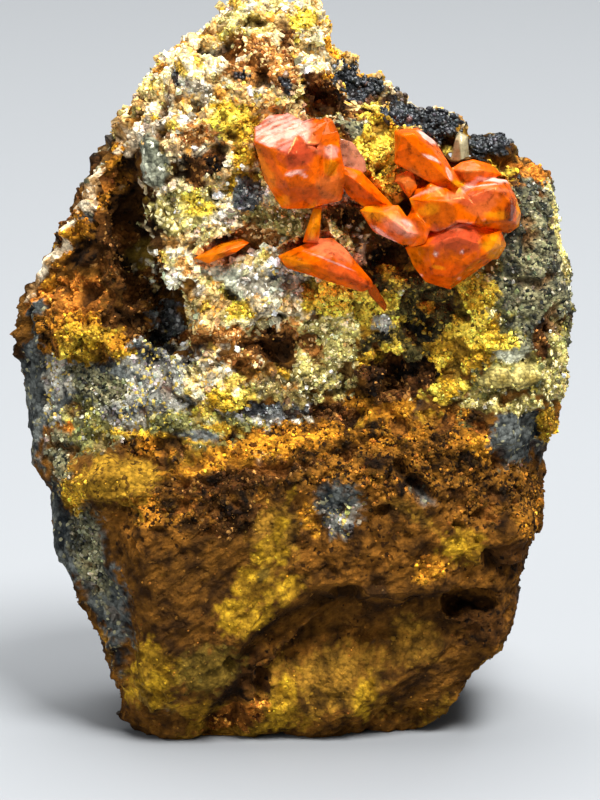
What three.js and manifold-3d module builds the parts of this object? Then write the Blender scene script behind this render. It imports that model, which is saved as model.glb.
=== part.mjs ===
// Wulfenite on matrix: a thumb-sized chip of gossan rock that stands on a trimmed foot.
// A pale drusy crust is raised on the upper front of the rock, an ochre ledge juts out below
// it, and the lower front falls back under the ledge to the foot. Tabular and blocky
// wulfenite crystals, and one pale tooth of cerussite, grow out of sockets in the crust.
//
// Millimetres. +Z is up, -Y is the front that carries the crystals, and the origin lies on
// the flat foot, under the middle of the rock.

import * as THREE from 'three';
import { ConvexGeometry } from 'three/addons/geometries/ConvexGeometry.js';
import { ImprovedNoise } from 'three/addons/math/ImprovedNoise.js';
import { mergeVertices } from 'three/addons/utils/BufferGeometryUtils.js';
import Module from 'manifold-3d';

const wasm = await Module();
wasm.setup();

// Driving dimensions.
const rockHeight = 36.2;
const rockHalfDepth = 8;
const wallFront = - 7.9; // how far the ochre wall stands out to the front
const socketGap = 0.25; // between a crystal and the socket it grows from
const edgeWear = 55; // the higher, the sharper the edges between fracture faces

// The chip as a whole: a point on each fracture face, and the way the face looks.
const chip = {
	heart: [ 0, 0.3, 17 ],
	rings: 9,
	faces: [
		// skyline, from the left corner over the peak to the right corner
		{ at: [ - 14.3, 2, 20.6 ], looks: [ - 0.87, - 0.05, 0.49 ] },
		{ at: [ - 7.8, 2, 31.6 ], looks: [ - 0.7, 0.1, 0.7 ] },
		{ at: [ - 1.5, 1, rockHeight - 0.6 ], looks: [ - 0.1, 0.05, 0.99 ] },
		{ at: [ 2.9, 1, 33.6 ], looks: [ 0.8, 0.05, 0.6 ] },
		{ at: [ 8.2, 1, 29.5 ], looks: [ 0.45, 0.02, 0.89 ] },
		// right flank
		{ at: [ 12.6, 0, 25.0 ], looks: [ 0.98, - 0.08, 0.2 ] },
		{ at: [ 12.8, 0, 18.0 ], looks: [ 0.99, 0.06, - 0.06 ] },
		{ at: [ 11.2, 0, 9.5 ], looks: [ 0.98, - 0.05, - 0.2 ] },
		{ at: [ 8.0, 0, 2.2 ], looks: [ 0.62, 0.05, - 0.78 ] },
		// left flank
		{ at: [ - 13.5, 1, 16.0 ], looks: [ - 0.98, 0.05, - 0.19 ] },
		{ at: [ - 10.4, 1, 6.6 ], looks: [ - 0.92, 0.08, - 0.36 ] },
		// front, behind the crust, and the facets that turn to the flanks
		{ at: [ 0, - 5.8, 24.0 ], looks: [ 0.02, - 0.995, 0.06 ] },
		{ at: [ 0, - 4.6, 32.0 ], looks: [ 0, - 0.9, 0.44 ] },
		{ at: [ - 9.6, - 3.8, 22.0 ], looks: [ - 0.46, - 0.88, 0.1 ] },
		{ at: [ 9.6, - 4.8, 22.0 ], looks: [ 0.42, - 0.9, 0.06 ] },
		{ at: [ 0, - 5.4, 4.0 ], looks: [ 0, - 0.94, - 0.34 ] },
		// back
		{ at: [ 0, rockHalfDepth, 15.0 ], looks: [ 0.05, 0.99, 0.05 ] },
		{ at: [ 1.0, 5.6, 28.0 ], looks: [ 0.12, 0.86, 0.5 ] },
		{ at: [ 0.5, 7.2, 7.0 ], looks: [ - 0.06, 0.95, - 0.3 ] },
		{ at: [ 9.6, 5.4, 17.0 ], looks: [ 0.62, 0.78, 0.06 ] },
		{ at: [ - 9.6, 5.2, 18.0 ], looks: [ - 0.66, 0.75, 0.08 ] },
		{ at: [ - 6.6, 5.4, 27.0 ], looks: [ - 0.5, 0.7, 0.5 ] },
		// foot
		{ at: [ 0, 0, - 0.6 ], looks: [ 0, 0, - 1 ] },
	],
};

// The ochre wall that stands proud of the chip below the ledge. Its flanks and back lie inside
// the chip.
const wall = {
	heart: [ 0, - 2, 8 ],
	rings: 7,
	faces: [
		{ at: [ 0, - 7.0, 14.6 ], looks: [ - 0.14, - 0.62, 0.77 ] },
		{ at: [ 0, wallFront, 10.0 ], looks: [ 0.04, - 0.98, - 0.16 ] },
		{ at: [ - 9.6, - 5.4, 9.0 ], looks: [ - 0.78, - 0.6, - 0.2 ] },
		{ at: [ 8.4, - 6.2, 9.0 ], looks: [ 0.48, - 0.86, - 0.15 ] },
		{ at: [ 0, - 6.4, 2.4 ], looks: [ 0, - 0.84, - 0.54 ] },
		{ at: [ 7.4, - 4.8, 4.0 ], looks: [ 0.42, - 0.66, - 0.62 ] },
		{ at: [ - 10.6, 0, 9.0 ], looks: [ - 0.94, 0, - 0.34 ] },
		{ at: [ 10.0, 0, 10.0 ], looks: [ 0.98, 0, - 0.2 ] },
		{ at: [ 7.4, 0, 2.2 ], looks: [ 0.62, 0, - 0.78 ] },
		{ at: [ - 8.8, - 5.4, 13.2 ], looks: [ - 0.5, - 0.5, 0.7 ] },
		{ at: [ 0, 3, 9.0 ], looks: [ 0, 1, 0 ] },
		{ at: [ 0, 0, - 0.6 ], looks: [ 0, 0, - 1 ] },
	],
};

// Smooth noise about zero, at a wavelength in millimetres.
const lattice = new ImprovedNoise();

function swell( p, wavelength, seed ) {

	return lattice.noise( p.x / wavelength + 17.3 * seed, p.y / wavelength - 9.1 * seed, p.z / wavelength + 4.7 );

}

// Broken-rock relief: broad swells, with sharp creases where the second noise crosses zero.
function crag( p, wavelength, seed ) {

	return swell( p, wavelength, seed ) + 0.8 * ( 0.35 - Math.abs( swell( p, wavelength * 0.55, seed + 3 ) ) );

}

// A closed geometry with shared corners, whose corners are then moved one by one.
function reshape( geometry, move ) {

	geometry.deleteAttribute( 'normal' );
	geometry.deleteAttribute( 'uv' );
	const merged = mergeVertices( geometry, 1e-5 );
	const corners = merged.attributes.position;
	const corner = new THREE.Vector3();
	for ( let i = 0; i < corners.count; i ++ ) {

		corner.fromBufferAttribute( corners, i );
		move( corner );
		corners.setXYZ( i, corner.x, corner.y, corner.z );

	}

	return merged;

}

const ballOf = ( rings, move ) => reshape( new THREE.IcosahedronGeometry( 1, rings ), move );

function toSolid( geometry ) {

	const bare = geometry.index ? geometry.toNonIndexed() : geometry.clone();
	bare.deleteAttribute( 'normal' );
	bare.deleteAttribute( 'uv' );
	const merged = mergeVertices( bare, 1e-5 );
	return new wasm.Manifold( new wasm.Mesh( {
		numProp: 3,
		vertProperties: merged.attributes.position.array,
		triVerts: new Uint32Array( merged.index.array ),
	} ) );

}

function toGeometry( solid ) {

	const mesh = solid.getMesh();
	const geometry = new THREE.BufferGeometry();
	geometry.setAttribute( 'position', new THREE.BufferAttribute( mesh.vertProperties, 3 ) );
	geometry.setIndex( new THREE.BufferAttribute( mesh.triVerts, 1 ) );
	const flat = geometry.toNonIndexed();
	flat.computeVertexNormals();
	return flat;

}

const joinAll = ( solids ) => solids.reduce( ( whole, solid ) => whole.add( solid ) );

// A broken block: a ball drawn out from its heart to the nearest fracture face, then roughened.
function fractured( { heart, rings, faces } ) {

	const middle = new THREE.Vector3( ...heart );
	const planes = faces.map( ( { at, looks } ) => {

		const normal = new THREE.Vector3( ...looks ).normalize();
		return { normal, offset: new THREE.Vector3( ...at ).sub( middle ).dot( normal ) };

	} );
	return toSolid( ballOf( rings, ( corner ) => {

		const way = corner.clone();
		let crowding = 0;
		for ( const { normal, offset } of planes ) {

			const lean = normal.dot( way );
			if ( lean > 0 ) crowding += ( lean / offset ) ** edgeWear;

		}

		corner.copy( way ).multiplyScalar( crowding ** ( - 1 / edgeWear ) ).add( middle );
		corner.addScaledVector( way, 0.55 * crag( corner, 5.5, 1 ) + 0.3 * crag( corner, 2.2, 2 ) );

	} ) );

}

// How far an outline reaches from its own origin at an angle.
function reachOf( outline, angle ) {

	const wayX = Math.cos( angle );
	const wayZ = Math.sin( angle );
	let reach = Infinity;
	outline.forEach( ( [ ax, az ], i ) => {

		const [ bx, bz ] = outline[ ( i + 1 ) % outline.length ];
		const spread = wayX * ( bz - az ) - wayZ * ( bx - ax );
		const distance = ( ax * ( bz - az ) - az * ( bx - ax ) ) / spread;
		const share = ( ax * wayZ - az * wayX ) / spread;
		if ( distance > 0 && share >= 0 && share <= 1 ) reach = Math.min( reach, distance );

	} );
	return reach;

}

// A slab of crust or a ledge: an outline in the XZ plane round a centre, swelling out to the
// front and running back into the rock, with a steep ragged rim.
function slab( { centre, outline, front, back, rings, rough, seed } ) {

	const middle = new THREE.Vector3( ...centre );
	const rim = outline.map( ( [ x, z ] ) => [ x - middle.x, z - middle.z ] );
	return toSolid( ballOf( rings, ( corner ) => {

		const across = Math.hypot( corner.x, corner.z );
		const reach = reachOf( rim, Math.atan2( corner.z, corner.x ) ) * across ** 0.35;
		const swelling = corner.y < 0 ? front : back;
		const thickness = swelling * Math.abs( corner.y ) ** 0.7 * Math.sign( corner.y );
		const way = across > 1e-6 ? [ corner.x / across, corner.z / across ] : [ 0, 0 ];
		corner.set( way[ 0 ] * reach, thickness, way[ 1 ] * reach ).add( middle );
		const bump = rough * crag( corner, 2.1, seed );
		corner.x += way[ 0 ] * bump;
		corner.z += way[ 1 ] * bump;
		corner.y -= 0.8 * rough * crag( corner, 1.7, seed + 5 );

	} ) );

}

// A ragged ridge along a route: a closed section, given as [ out of the wall, up ], is carried
// along the route, square to it in plan.
function ridge( { route, section, steps, rough, seed } ) {

	const line = new THREE.CatmullRomCurve3( route.map( ( point ) => new THREE.Vector3( ...point ) ) );
	const bar = new THREE.CylinderGeometry( 1, 1, 1, section.length, steps );
	return toSolid( reshape( bar, ( corner ) => {

		const share = 0.5 - corner.y;
		const isRim = Math.hypot( corner.x, corner.z ) > 0.5;
		const turn = Math.atan2( corner.x, corner.z ) / ( 2 * Math.PI ) + 1;
		const place = Math.round( turn * section.length ) % section.length;
		const [ out, up ] = isRim ? section[ place ] : [ - 1, 0 ];
		const along = line.getTangentAt( share );
		const outward = new THREE.Vector3( along.y, - along.x, 0 ).normalize();
		corner.copy( line.getPointAt( share ) ).addScaledVector( outward, out );
		corner.z += up;
		corner.addScaledVector( outward, rough * crag( corner, 1.9, seed ) );
		corner.z += 0.7 * rough * crag( corner, 2.3, seed + 5 );

	} ) );

}

// A nodule or, when it is cut away, a pit: an ellipsoid with a craggy skin, tilted in degrees.
const backward = new THREE.Vector3( 0, 1, 0 );

function lump( [ x, y, z ], [ rx, ry, rz ], { rings = 1, rough = 0.3, tilt = 0, seed = 1 } = {} ) {

	const middle = new THREE.Vector3( x, y, z );
	const turn = new THREE.Quaternion().setFromAxisAngle( backward, THREE.MathUtils.degToRad( tilt ) );
	return toSolid( ballOf( rings, ( corner ) => {

		const way = corner.clone().applyQuaternion( turn );
		corner.set( corner.x * rx, corner.y * ry, corner.z * rz ).applyQuaternion( turn ).add( middle );
		corner.addScaledVector( way, rough * Math.min( rx, ry, rz ) * 2 * crag( corner, 1.3, seed ) );

	} ) );

}

// The pale drusy crust on the upper front. Its ragged left and lower rims stand proud.
const crust = slab( {
	centre: [ - 1.6, - 4.9, 24.6 ],
	outline: [
		[ - 8.0, 30.6 ], [ - 7.4, 27.6 ], [ - 7.2, 25.2 ], [ - 6.6, 23.8 ], [ - 5.8, 22.6 ], [ - 5.4, 20.0 ],
		[ - 4.9, 18.4 ], [ - 4.3, 17.0 ], [ - 2.8, 16.6 ], [ - 1.6, 17.3 ], [ 0.1, 16.0 ], [ 1.3, 17.0 ],
		[ 2.6, 18.8 ], [ 4.6, 20.2 ], [ 6.4, 22.6 ], [ 6.2, 27.0 ], [ 4.4, 30.4 ], [ 1.6, 33.2 ],
		[ - 1.6, 34.4 ], [ - 4.2, 33.6 ], [ - 6.0, 32.4 ],
	],
	front: 1.9, back: 2.6, rings: 8, rough: 0.65, seed: 4,
} );

// The granular right shoulder, which overhangs a notch in the right flank.
const shoulder = slab( {
	centre: [ 8.6, - 2.6, 21.6 ],
	outline: [
		[ 3.6, 24.0 ], [ 4.4, 19.2 ], [ 7.0, 17.2 ], [ 10.4, 16.6 ], [ 12.4, 15.4 ], [ 13.1, 18.0 ],
		[ 13.1, 22.0 ], [ 12.3, 26.8 ], [ 10.0, 28.6 ], [ 6.0, 27.8 ],
	],
	front: 3.6, back: 3.2, rings: 5, rough: 0.5, seed: 9,
} );

// The ochre ledge that juts out across the front, with a sloping roof and an undercut face.
const ledge = ridge( {
	route: [
		[ - 11.4, - 3.6, 11.8 ], [ - 9.6, - 6.2, 12.2 ], [ - 7.0, - 7.6, 12.6 ], [ - 3.6, - 8.1, 12.9 ],
		[ 0, - 8.3, 13.8 ], [ 3.4, - 8.1, 14.5 ], [ 7.0, - 7.2, 14.4 ], [ 10.0, - 5.4, 13.8 ], [ 11.2, - 3.4, 13.4 ],
	],
	section: [ [ 0.4, 0.2 ], [ - 0.6, 1.3 ], [ - 2.6, 2.6 ], [ - 3.4, - 0.6 ], [ - 1.4, - 2.2 ], [ 0.1, - 1.0 ] ],
	steps: 20, rough: 0.7, seed: 14,
} );

// What is broken out of the block before the crust goes on: the shadowed recess on the left,
// beside the crust, and the long hollow low on the front, under a ragged overhang.
const recess = slab( {
	centre: [ - 7.3, - 4.8, 24.6 ],
	outline: [
		[ - 8.4, 29.4 ], [ - 6.0, 28.6 ], [ - 5.2, 24.0 ], [ - 4.8, 19.6 ], [ - 7.4, 19.6 ], [ - 9.0, 23.4 ],
		[ - 9.4, 27.6 ],
	],
	front: 4.0, back: 2.4, rings: 4, rough: 0.4, seed: 12,
} );
const undercut = slab( {
	centre: [ 3.0, - 8.2, 4.4 ],
	outline: [
		[ - 3.2, 0.8 ], [ - 1.9, 4.2 ], [ 0.0, 6.2 ], [ 2.2, 8.2 ], [ 4.8, 7.4 ], [ 7.4, 8.3 ], [ 10.4, 7.8 ],
		[ 12.0, 5.0 ], [ 9.0, 0.0 ], [ 3.0, - 2.0 ],
	],
	front: 4.0, back: 2.3, rings: 5, rough: 0.4, seed: 16,
} );

const knolls = [
	// blocks of the peak and of the stepped left skyline
	lump( [ - 2.0, - 1.0, 34.4 ], [ 2.6, 2.4, 1.7 ], { rings: 2, seed: 21 } ),
	lump( [ 0.4, - 1.2, 34.2 ], [ 1.5, 2.0, 1.7 ], { seed: 42 } ),
	lump( [ 1.3, - 1.8, 32.4 ], [ 1.7, 1.8, 1.6 ], { seed: 25 } ),
	lump( [ - 4.4, - 1.2, 33.2 ], [ 1.5, 2.0, 1.3 ], { seed: 22 } ),
	lump( [ - 6.0, - 1.0, 32.0 ], [ 1.5, 2.0, 1.5 ], { seed: 23, tilt: 20 } ),
	lump( [ - 7.6, - 0.8, 30.0 ], [ 1.3, 2.0, 1.4 ], { seed: 24, tilt: 30 } ),
	// black grape-like oxide on the right skyline
	lump( [ 4.0, - 1.6, 31.4 ], [ 1.6, 1.5, 1.0 ], { seed: 46, tilt: 40 } ),
	lump( [ 6.4, - 2.6, 30.3 ], [ 1.7, 1.5, 1.0 ], { seed: 26, tilt: 15 } ),
	lump( [ 9.4, - 2.8, 28.9 ], [ 1.4, 1.4, 0.9 ], { seed: 28, tilt: 20 } ),
	lump( [ 11.0, - 2.2, 27.4 ], [ 1.4, 1.6, 1.0 ], { seed: 29, tilt: 35 } ),
	// yellow powder crust above the crystals
	lump( [ 3.6, - 4.8, 30.4 ], [ 1.9, 1.7, 1.5 ], { rings: 2, seed: 30 } ),
	lump( [ 3.0, - 5.4, 28.4 ], [ 1.3, 1.4, 1.6 ], { seed: 31 } ),
	// nodules on the left flank and the glassy block on the right shoulder
	lump( [ - 11.3, - 1.0, 24.0 ], [ 1.6, 1.6, 1.0 ], { seed: 32, tilt: - 40 } ),
	lump( [ - 9.8, - 3.2, 20.8 ], [ 3.0, 1.8, 1.2 ], { rings: 2, rough: 0.2, seed: 34, tilt: - 10 } ),
	lump( [ 9.8, - 5.4, 18.6 ], [ 1.9, 1.1, 0.8 ], { rough: 0.1, seed: 35 } ),
	// yellow lobe at the lower left corner and buttresses on the lower wall
	lump( [ - 8.8, - 4.8, 12.8 ], [ 2.6, 2.6, 2.2 ], { rings: 2, rough: 0.15, seed: 36 } ),
	lump( [ - 5.6, - 3.6, 3.0 ], [ 3.0, 2.4, 4.0 ], { rings: 2, rough: 0.15, seed: 37, tilt: 20 } ),
	lump( [ - 2.6, - 5.4, 7.4 ], [ 2.2, 2.6, 4.6 ], { rings: 2, rough: 0.15, seed: 38, tilt: 32 } ),
	lump( [ 6.6, - 4.8, 10.6 ], [ 4.6, 2.6, 2.4 ], { rings: 2, rough: 0.15, seed: 39 } ),
	// knobs on the back
	lump( [ 4.4, 6.2, 20.4 ], [ 3.2, 2.2, 3.6 ], { rings: 2, rough: 0.15, seed: 40 } ),
	lump( [ - 5.4, 6.4, 11.0 ], [ 3.0, 2.0, 2.6 ], { rings: 2, rough: 0.15, seed: 41 } ),
];

const pits = [
	// vugs round the crystals
	lump( [ 0.7, - 6.0, 32.0 ], [ 1.1, 1.5, 0.8 ], { seed: 53 } ),
	lump( [ 2.7, - 6.6, 26.0 ], [ 1.3, 1.2, 0.7 ], { seed: 54, tilt: 20 } ),
	lump( [ 4.2, - 6.8, 24.6 ], [ 1.3, 1.2, 0.9 ], { seed: 55 } ),
	lump( [ - 0.9, - 7.0, 20.3 ], [ 2.1, 1.2, 0.8 ], { seed: 56, tilt: 14 } ),
	lump( [ - 3.4, - 6.8, 28.4 ], [ 0.9, 0.9, 0.9 ], { seed: 57 } ),
	lump( [ - 1.6, - 7.0, 25.6 ], [ 1.8, 0.9, 0.5 ], { seed: 67, tilt: - 18 } ),
	// recess between the crust and the right shoulder
	lump( [ 4.6, - 6.6, 18.6 ], [ 1.9, 1.6, 1.2 ], { seed: 58, tilt: - 20 } ),
	// pockets in the lower wall
	lump( [ 8.4, - 6.2, 7.2 ], [ 1.9, 1.7, 0.9 ], { seed: 59, tilt: 4 } ),
	lump( [ 4.6, - 8.0, 11.6 ], [ 1.3, 0.9, 0.7 ], { seed: 62, tilt: 30 } ),
	// bites out of the flanks and the back
	lump( [ 13.6, 0.4, 13.4 ], [ 1.9, 6.0, 1.2 ], { rings: 2, rough: 0.2, seed: 64 } ),
	lump( [ - 11.4, 8.4, 14.0 ], [ 4.0, 2.4, 3.6 ], { rings: 2, rough: 0.2, seed: 65 } ),
	lump( [ 6.4, 9.6, 11.0 ], [ 3.2, 2.6, 3.0 ], { rings: 2, rough: 0.2, seed: 66 } ),
];

// A block of crystal: the corners that show, and a smaller copy of them that is its root.
function block( corners, { root, taper } ) {

	const points = corners.map( ( corner ) => new THREE.Vector3( ...corner ) );
	const middle = new THREE.Box3().setFromPoints( points ).getCenter( new THREE.Vector3() );
	const roots = points.map( ( point ) => point.clone().lerp( middle, taper ).setY( point.y + root ) );
	return [ ...points, ...roots ];

}

const crystals = {
	wulfenite_main_cluster: [
		// the big block, with its striated roof
		block( [ [ - 2.2, - 7.6, 30.9 ], [ - 1.5, - 6.9, 31.4 ], [ - 0.6, - 6.7, 31.5 ],
			[ 0.3, - 7.2, 31.1 ], [ - 0.1, - 8.7, 30.8 ], [ - 1.5, - 9, 30.2 ], [ - 2.2, - 8.4, 30.4 ],
			[ - 1.7, - 8.3, 28.5 ], [ - 0.9, - 8, 27.1 ], [ - 0.6, - 9.4, 29.9 ],
			[ - 0.5, - 9.3, 28.3 ], [ 0.9, - 8.8, 29.9 ], [ 1, - 8.7, 28.3 ], [ - 0.5, - 8.3, 27.1 ],
			[ 0.7, - 8.1, 27.1 ] ], { root: 2.8, taper: 0.3 } ),
		// the block behind its right shoulder
		block( [ [ 0.3, - 7, 30.9 ], [ 1.2, - 6.8, 31.3 ], [ 1.5, - 6.7, 31.2 ], [ 1.9, - 7.2, 30.5 ],
			[ 2.1, - 7, 27.6 ], [ 0.8, - 7.4, 27 ], [ 0.9, - 8.3, 30.3 ], [ 1.6, - 8.1, 30.3 ],
			[ 1.6, - 8, 28.1 ] ], { root: 2.6, taper: 0.25 } ),
		// a small pyramid on it
		block( [ [ 1.5, - 8.5, 30.3 ], [ 1.9, - 8.4, 29.5 ], [ 1.6, - 8.4, 28.9 ],
			[ 1.1, - 8.5, 28.6 ], [ 1.1, - 8.5, 30 ], [ 1.5, - 9, 29.5 ] ], { root: 1, taper: 0.3 } ),
		// a blade that leans away to the right
		block( [ [ 1.2, - 7.5, 29.3 ], [ 2.9, - 7.3, 28.8 ], [ 3.5, - 7.3, 27.9 ], [ 4.6, - 7.6, 27 ],
			[ 4, - 7.8, 26.9 ], [ 3, - 7.6, 27.1 ], [ 2.3, - 7.5, 27.6 ], [ 2.6, - 8.1, 28.5 ],
			[ 3.8, - 8.3, 27.5 ] ], { root: 1.8, taper: 0.35 } ),
		// the rosette on the right: the core that its crystals grow through
		block( [ [ 5, - 8.1, 25.6 ], [ 5.5, - 7.8, 28 ], [ 7.6, - 7.8, 28.3 ], [ 9.4, - 7.7, 27.6 ],
			[ 9.2, - 7.9, 25.4 ], [ 7.4, - 8.1, 24.2 ] ], { root: 2.4, taper: 0.1 } ),
		// the upper blade
		block( [ [ 4.5, - 7, 30.7 ], [ 5.6, - 6.8, 30.8 ], [ 6.5, - 6.8, 30.1 ], [ 7, - 7, 29.1 ],
			[ 8, - 7.6, 27.7 ], [ 6.3, - 8.2, 28.3 ], [ 4.5, - 7.6, 29.2 ], [ 4.9, - 8, 30.6 ],
			[ 5.4, - 8, 30.7 ], [ 6.3, - 8.1, 29.9 ], [ 6.9, - 8.5, 28.7 ] ], { root: 2.6, taper: 0.3 } ),
		// the lobe at the back
		block( [ [ 7.2, - 6.8, 28.8 ], [ 7.7, - 6.6, 29.1 ], [ 8.3, - 6.4, 29.2 ], [ 9.1, - 6.4, 29 ],
			[ 9.7, - 6.6, 28.5 ], [ 8.7, - 7, 28 ], [ 7.8, - 7.2, 27.8 ], [ 7.9, - 7.5, 28.8 ],
			[ 8.7, - 7.3, 28.8 ] ], { root: 1.3, taper: 0.3 } ),
		// the right block
		block( [ [ 7.8, - 7.4, 27.8 ], [ 9.2, - 7, 28.4 ], [ 9.9, - 7, 28.3 ], [ 10.3, - 7.2, 27.6 ],
			[ 10.6, - 7.4, 26.7 ], [ 10.5, - 7.4, 26.1 ], [ 10, - 7.6, 25.8 ], [ 8.6, - 8, 26.1 ],
			[ 7.5, - 8, 26.4 ], [ 8.1, - 8.7, 27.8 ], [ 9.3, - 8.6, 28.2 ], [ 10, - 8.7, 27.5 ],
			[ 10, - 8.7, 26.7 ], [ 8.7, - 9, 26.5 ] ], { root: 2.8, taper: 0.3 } ),
		// the middle block
		block( [ [ 5.2, - 8.2, 27.6 ], [ 6.3, - 7.9, 28.2 ], [ 7, - 8.2, 28.1 ], [ 7.8, - 8.6, 27.5 ],
			[ 7.5, - 9, 26.5 ], [ 6.6, - 9, 26.1 ], [ 6, - 9, 26.2 ], [ 5.5, - 8.6, 26.8 ],
			[ 6.1, - 9.1, 27.7 ], [ 7.1, - 9.2, 27.6 ] ], { root: 2.8, taper: 0.3 } ),
		// the leaf on the left
		block( [ [ 2.8, - 8, 27 ], [ 3.1, - 8, 27.2 ], [ 4.7, - 8.3, 27.3 ], [ 5.7, - 8.9, 26 ],
			[ 5.4, - 8.8, 25.5 ], [ 4.9, - 8.6, 25.4 ], [ 3.5, - 8.3, 26 ], [ 3.9, - 8.8, 27 ],
			[ 5.1, - 9.3, 26.2 ] ], { root: 1.4, taper: 0.35 } ),
		// the lower block
		block( [ [ 5, - 8, 25.2 ], [ 6, - 8.6, 25.8 ], [ 7.5, - 8.6, 26.5 ], [ 9.6, - 7.9, 25.9 ],
			[ 9.8, - 7.6, 25 ], [ 9.5, - 7.6, 24.7 ], [ 7.9, - 8, 23.8 ], [ 7.2, - 7.8, 23.1 ],
			[ 6, - 8, 23.5 ], [ 5.4, - 8, 24.3 ], [ 6.1, - 9.4, 25.5 ], [ 7.4, - 9.5, 26 ],
			[ 8.5, - 9.2, 25.6 ], [ 8.4, - 9, 24.8 ], [ 7.3, - 8.9, 23.9 ],
			[ 6.3, - 9, 24.1 ] ], { root: 3, taper: 0.3 } ),
		// a small brownish block under the blade
		block( [ [ 4.5, - 7.2, 28.3 ], [ 4.7, - 7.1, 28.6 ], [ 5.4, - 7.4, 28.8 ],
			[ 5.6, - 7.9, 28.1 ], [ 5.2, - 8.1, 27.6 ], [ 4.9, - 8.1, 28.3 ] ], { root: 1.6, taper: 0.3 } ),
	],
	wulfenite_lower_wedge: [
		block( [ [ - 1.1, - 7.6, 24.7 ], [ - 0.4, - 7.4, 25 ], [ 0.9, - 7.2, 25.5 ],
			[ 1.6, - 7.2, 25.5 ], [ 2.1, - 7.4, 25.1 ], [ 3.5, - 7.8, 23.5 ], [ 3.5, - 7.9, 23.2 ],
			[ 3, - 7.9, 23 ], [ 0.6, - 8, 23.8 ], [ - 0.7, - 7.9, 24.2 ], [ 0.5, - 8.7, 24.5 ],
			[ 1.5, - 8.6, 24.9 ], [ 2.7, - 8.6, 23.7 ] ], { root: 1.8, taper: 0.25 } ),
	],
	wulfenite_thin_blade: [
		block( [ [ 0.2, - 7.2, 25.9 ], [ 0.6, - 7.2, 26.6 ], [ 1, - 7.3, 26.6 ],
			[ 1, - 7.3, 25.9 ], [ 0.6, - 7.7, 26.1 ] ], { root: 1.4, taper: 0.2 } ),
	],
	wulfenite_small_sliver: [
		block( [ [ - 5.1, - 7, 24.5 ], [ - 3.9, - 7.1, 25.1 ], [ - 2.7, - 7.2, 25.4 ],
			[ - 2.4, - 7.3, 25.3 ], [ - 3, - 7.6, 24.9 ], [ - 4.4, - 7.5, 24.3 ],
			[ - 3.9, - 7.9, 24.9 ] ], { root: 1.4, taper: 0.2 } ),
	],
	cerussite_tooth: [
		block( [ [ 7.2, - 4.2, 29 ], [ 7.5, - 4.5, 29.8 ], [ 7.7, - 4.6, 30.1 ],
			[ 8.1, - 4.6, 29.9 ], [ 8.2, - 4.2, 29 ], [ 7.7, - 5, 29.6 ],
			[ 7.8, - 4.9, 29.2 ] ], { root: 1.4, taper: 0.25 } ),
	],
};

const hull = ( points ) => toSolid( new ConvexGeometry( points ) );
const crystalSolids = Object.entries( crystals ).map(
	( [ name, blocks ] ) => [ name, joinAll( blocks.map( hull ) ) ] );

// The socket of a block is the same block, stretched by the gap at both ends of each axis.
function socket( points ) {

	const box = new THREE.Box3().setFromPoints( points );
	const middle = box.getCenter( new THREE.Vector3() );
	const half = box.getSize( new THREE.Vector3() ).multiplyScalar( 0.5 );
	const stretch = half.clone().addScalar( socketGap ).divide( half );
	return hull( points.map( ( point ) => point.clone().sub( middle ).multiply( stretch ).add( middle ) ) );

}

const sockets = Object.values( crystals ).flat().map( socket );

// Everything below the foot plane is trimmed off.
const trim = new THREE.BoxGeometry( 60, 60, 20 ).translate( 0, 0, - 10 );

const broken = fractured( chip ).subtract( recess ).add( fractured( wall ).subtract( undercut ) );
const crusted = joinAll( [ broken, crust, shoulder, ledge, ...knolls ] );
const hollowed = crusted.subtract( joinAll( [ ...pits, ...sockets ] ) ).subtract( toSolid( trim ) );
const bodies = hollowed.decompose();
const matrix = bodies.reduce( ( most, body ) => ( body.volume() > most.volume() ? body : most ) );

const finishes = {
	matrix: { color: 0x8a6a3c, roughness: 0.92, metalness: 0 },
	wulfenite: { color: 0xd6470f, roughness: 0.18, metalness: 0 },
	cerussite: { color: 0xb9ad8c, roughness: 0.3, metalness: 0 },
};

function piece( name, solid, finish ) {

	const mesh = new THREE.Mesh( toGeometry( solid ), new THREE.MeshStandardMaterial( finishes[ finish ] ) );
	mesh.name = name;
	return mesh;

}

const specimen = new THREE.Group();
specimen.add( piece( 'matrix_rock', matrix, 'matrix' ) );
for ( const [ name, solid ] of crystalSolids ) specimen.add( piece( name, solid, name.split( '_' )[ 0 ] ) );

export default specimen;
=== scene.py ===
# The looks of a wulfenite specimen: crystals on a chip of ochre-stained rock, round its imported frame.

import math

import bmesh
import bpy
import numpy as np
from mathutils import Matrix, Vector, noise
from mathutils.bvhtree import BVHTree


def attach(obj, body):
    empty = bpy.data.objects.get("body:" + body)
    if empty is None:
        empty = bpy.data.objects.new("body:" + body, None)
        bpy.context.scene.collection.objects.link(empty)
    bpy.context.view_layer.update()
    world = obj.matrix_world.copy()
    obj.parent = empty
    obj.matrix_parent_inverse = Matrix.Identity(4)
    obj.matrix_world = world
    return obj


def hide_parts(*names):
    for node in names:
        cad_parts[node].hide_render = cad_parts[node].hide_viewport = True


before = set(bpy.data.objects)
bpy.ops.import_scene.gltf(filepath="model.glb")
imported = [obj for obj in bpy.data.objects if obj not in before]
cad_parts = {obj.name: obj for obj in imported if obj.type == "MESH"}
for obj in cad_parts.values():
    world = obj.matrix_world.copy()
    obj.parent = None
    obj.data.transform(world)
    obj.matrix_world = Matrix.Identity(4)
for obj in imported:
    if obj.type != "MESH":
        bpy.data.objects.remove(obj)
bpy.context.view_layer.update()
scene = bpy.context.scene

# The rock. A chip of gossan, the quartz and iron oxides left of a weathered ore, broken off and
# trimmed: drusy crust on the upper front, an ochre ledge across the middle and a stained wall below.
# It closes round the roots of the crystals, which grew out of it.

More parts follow.
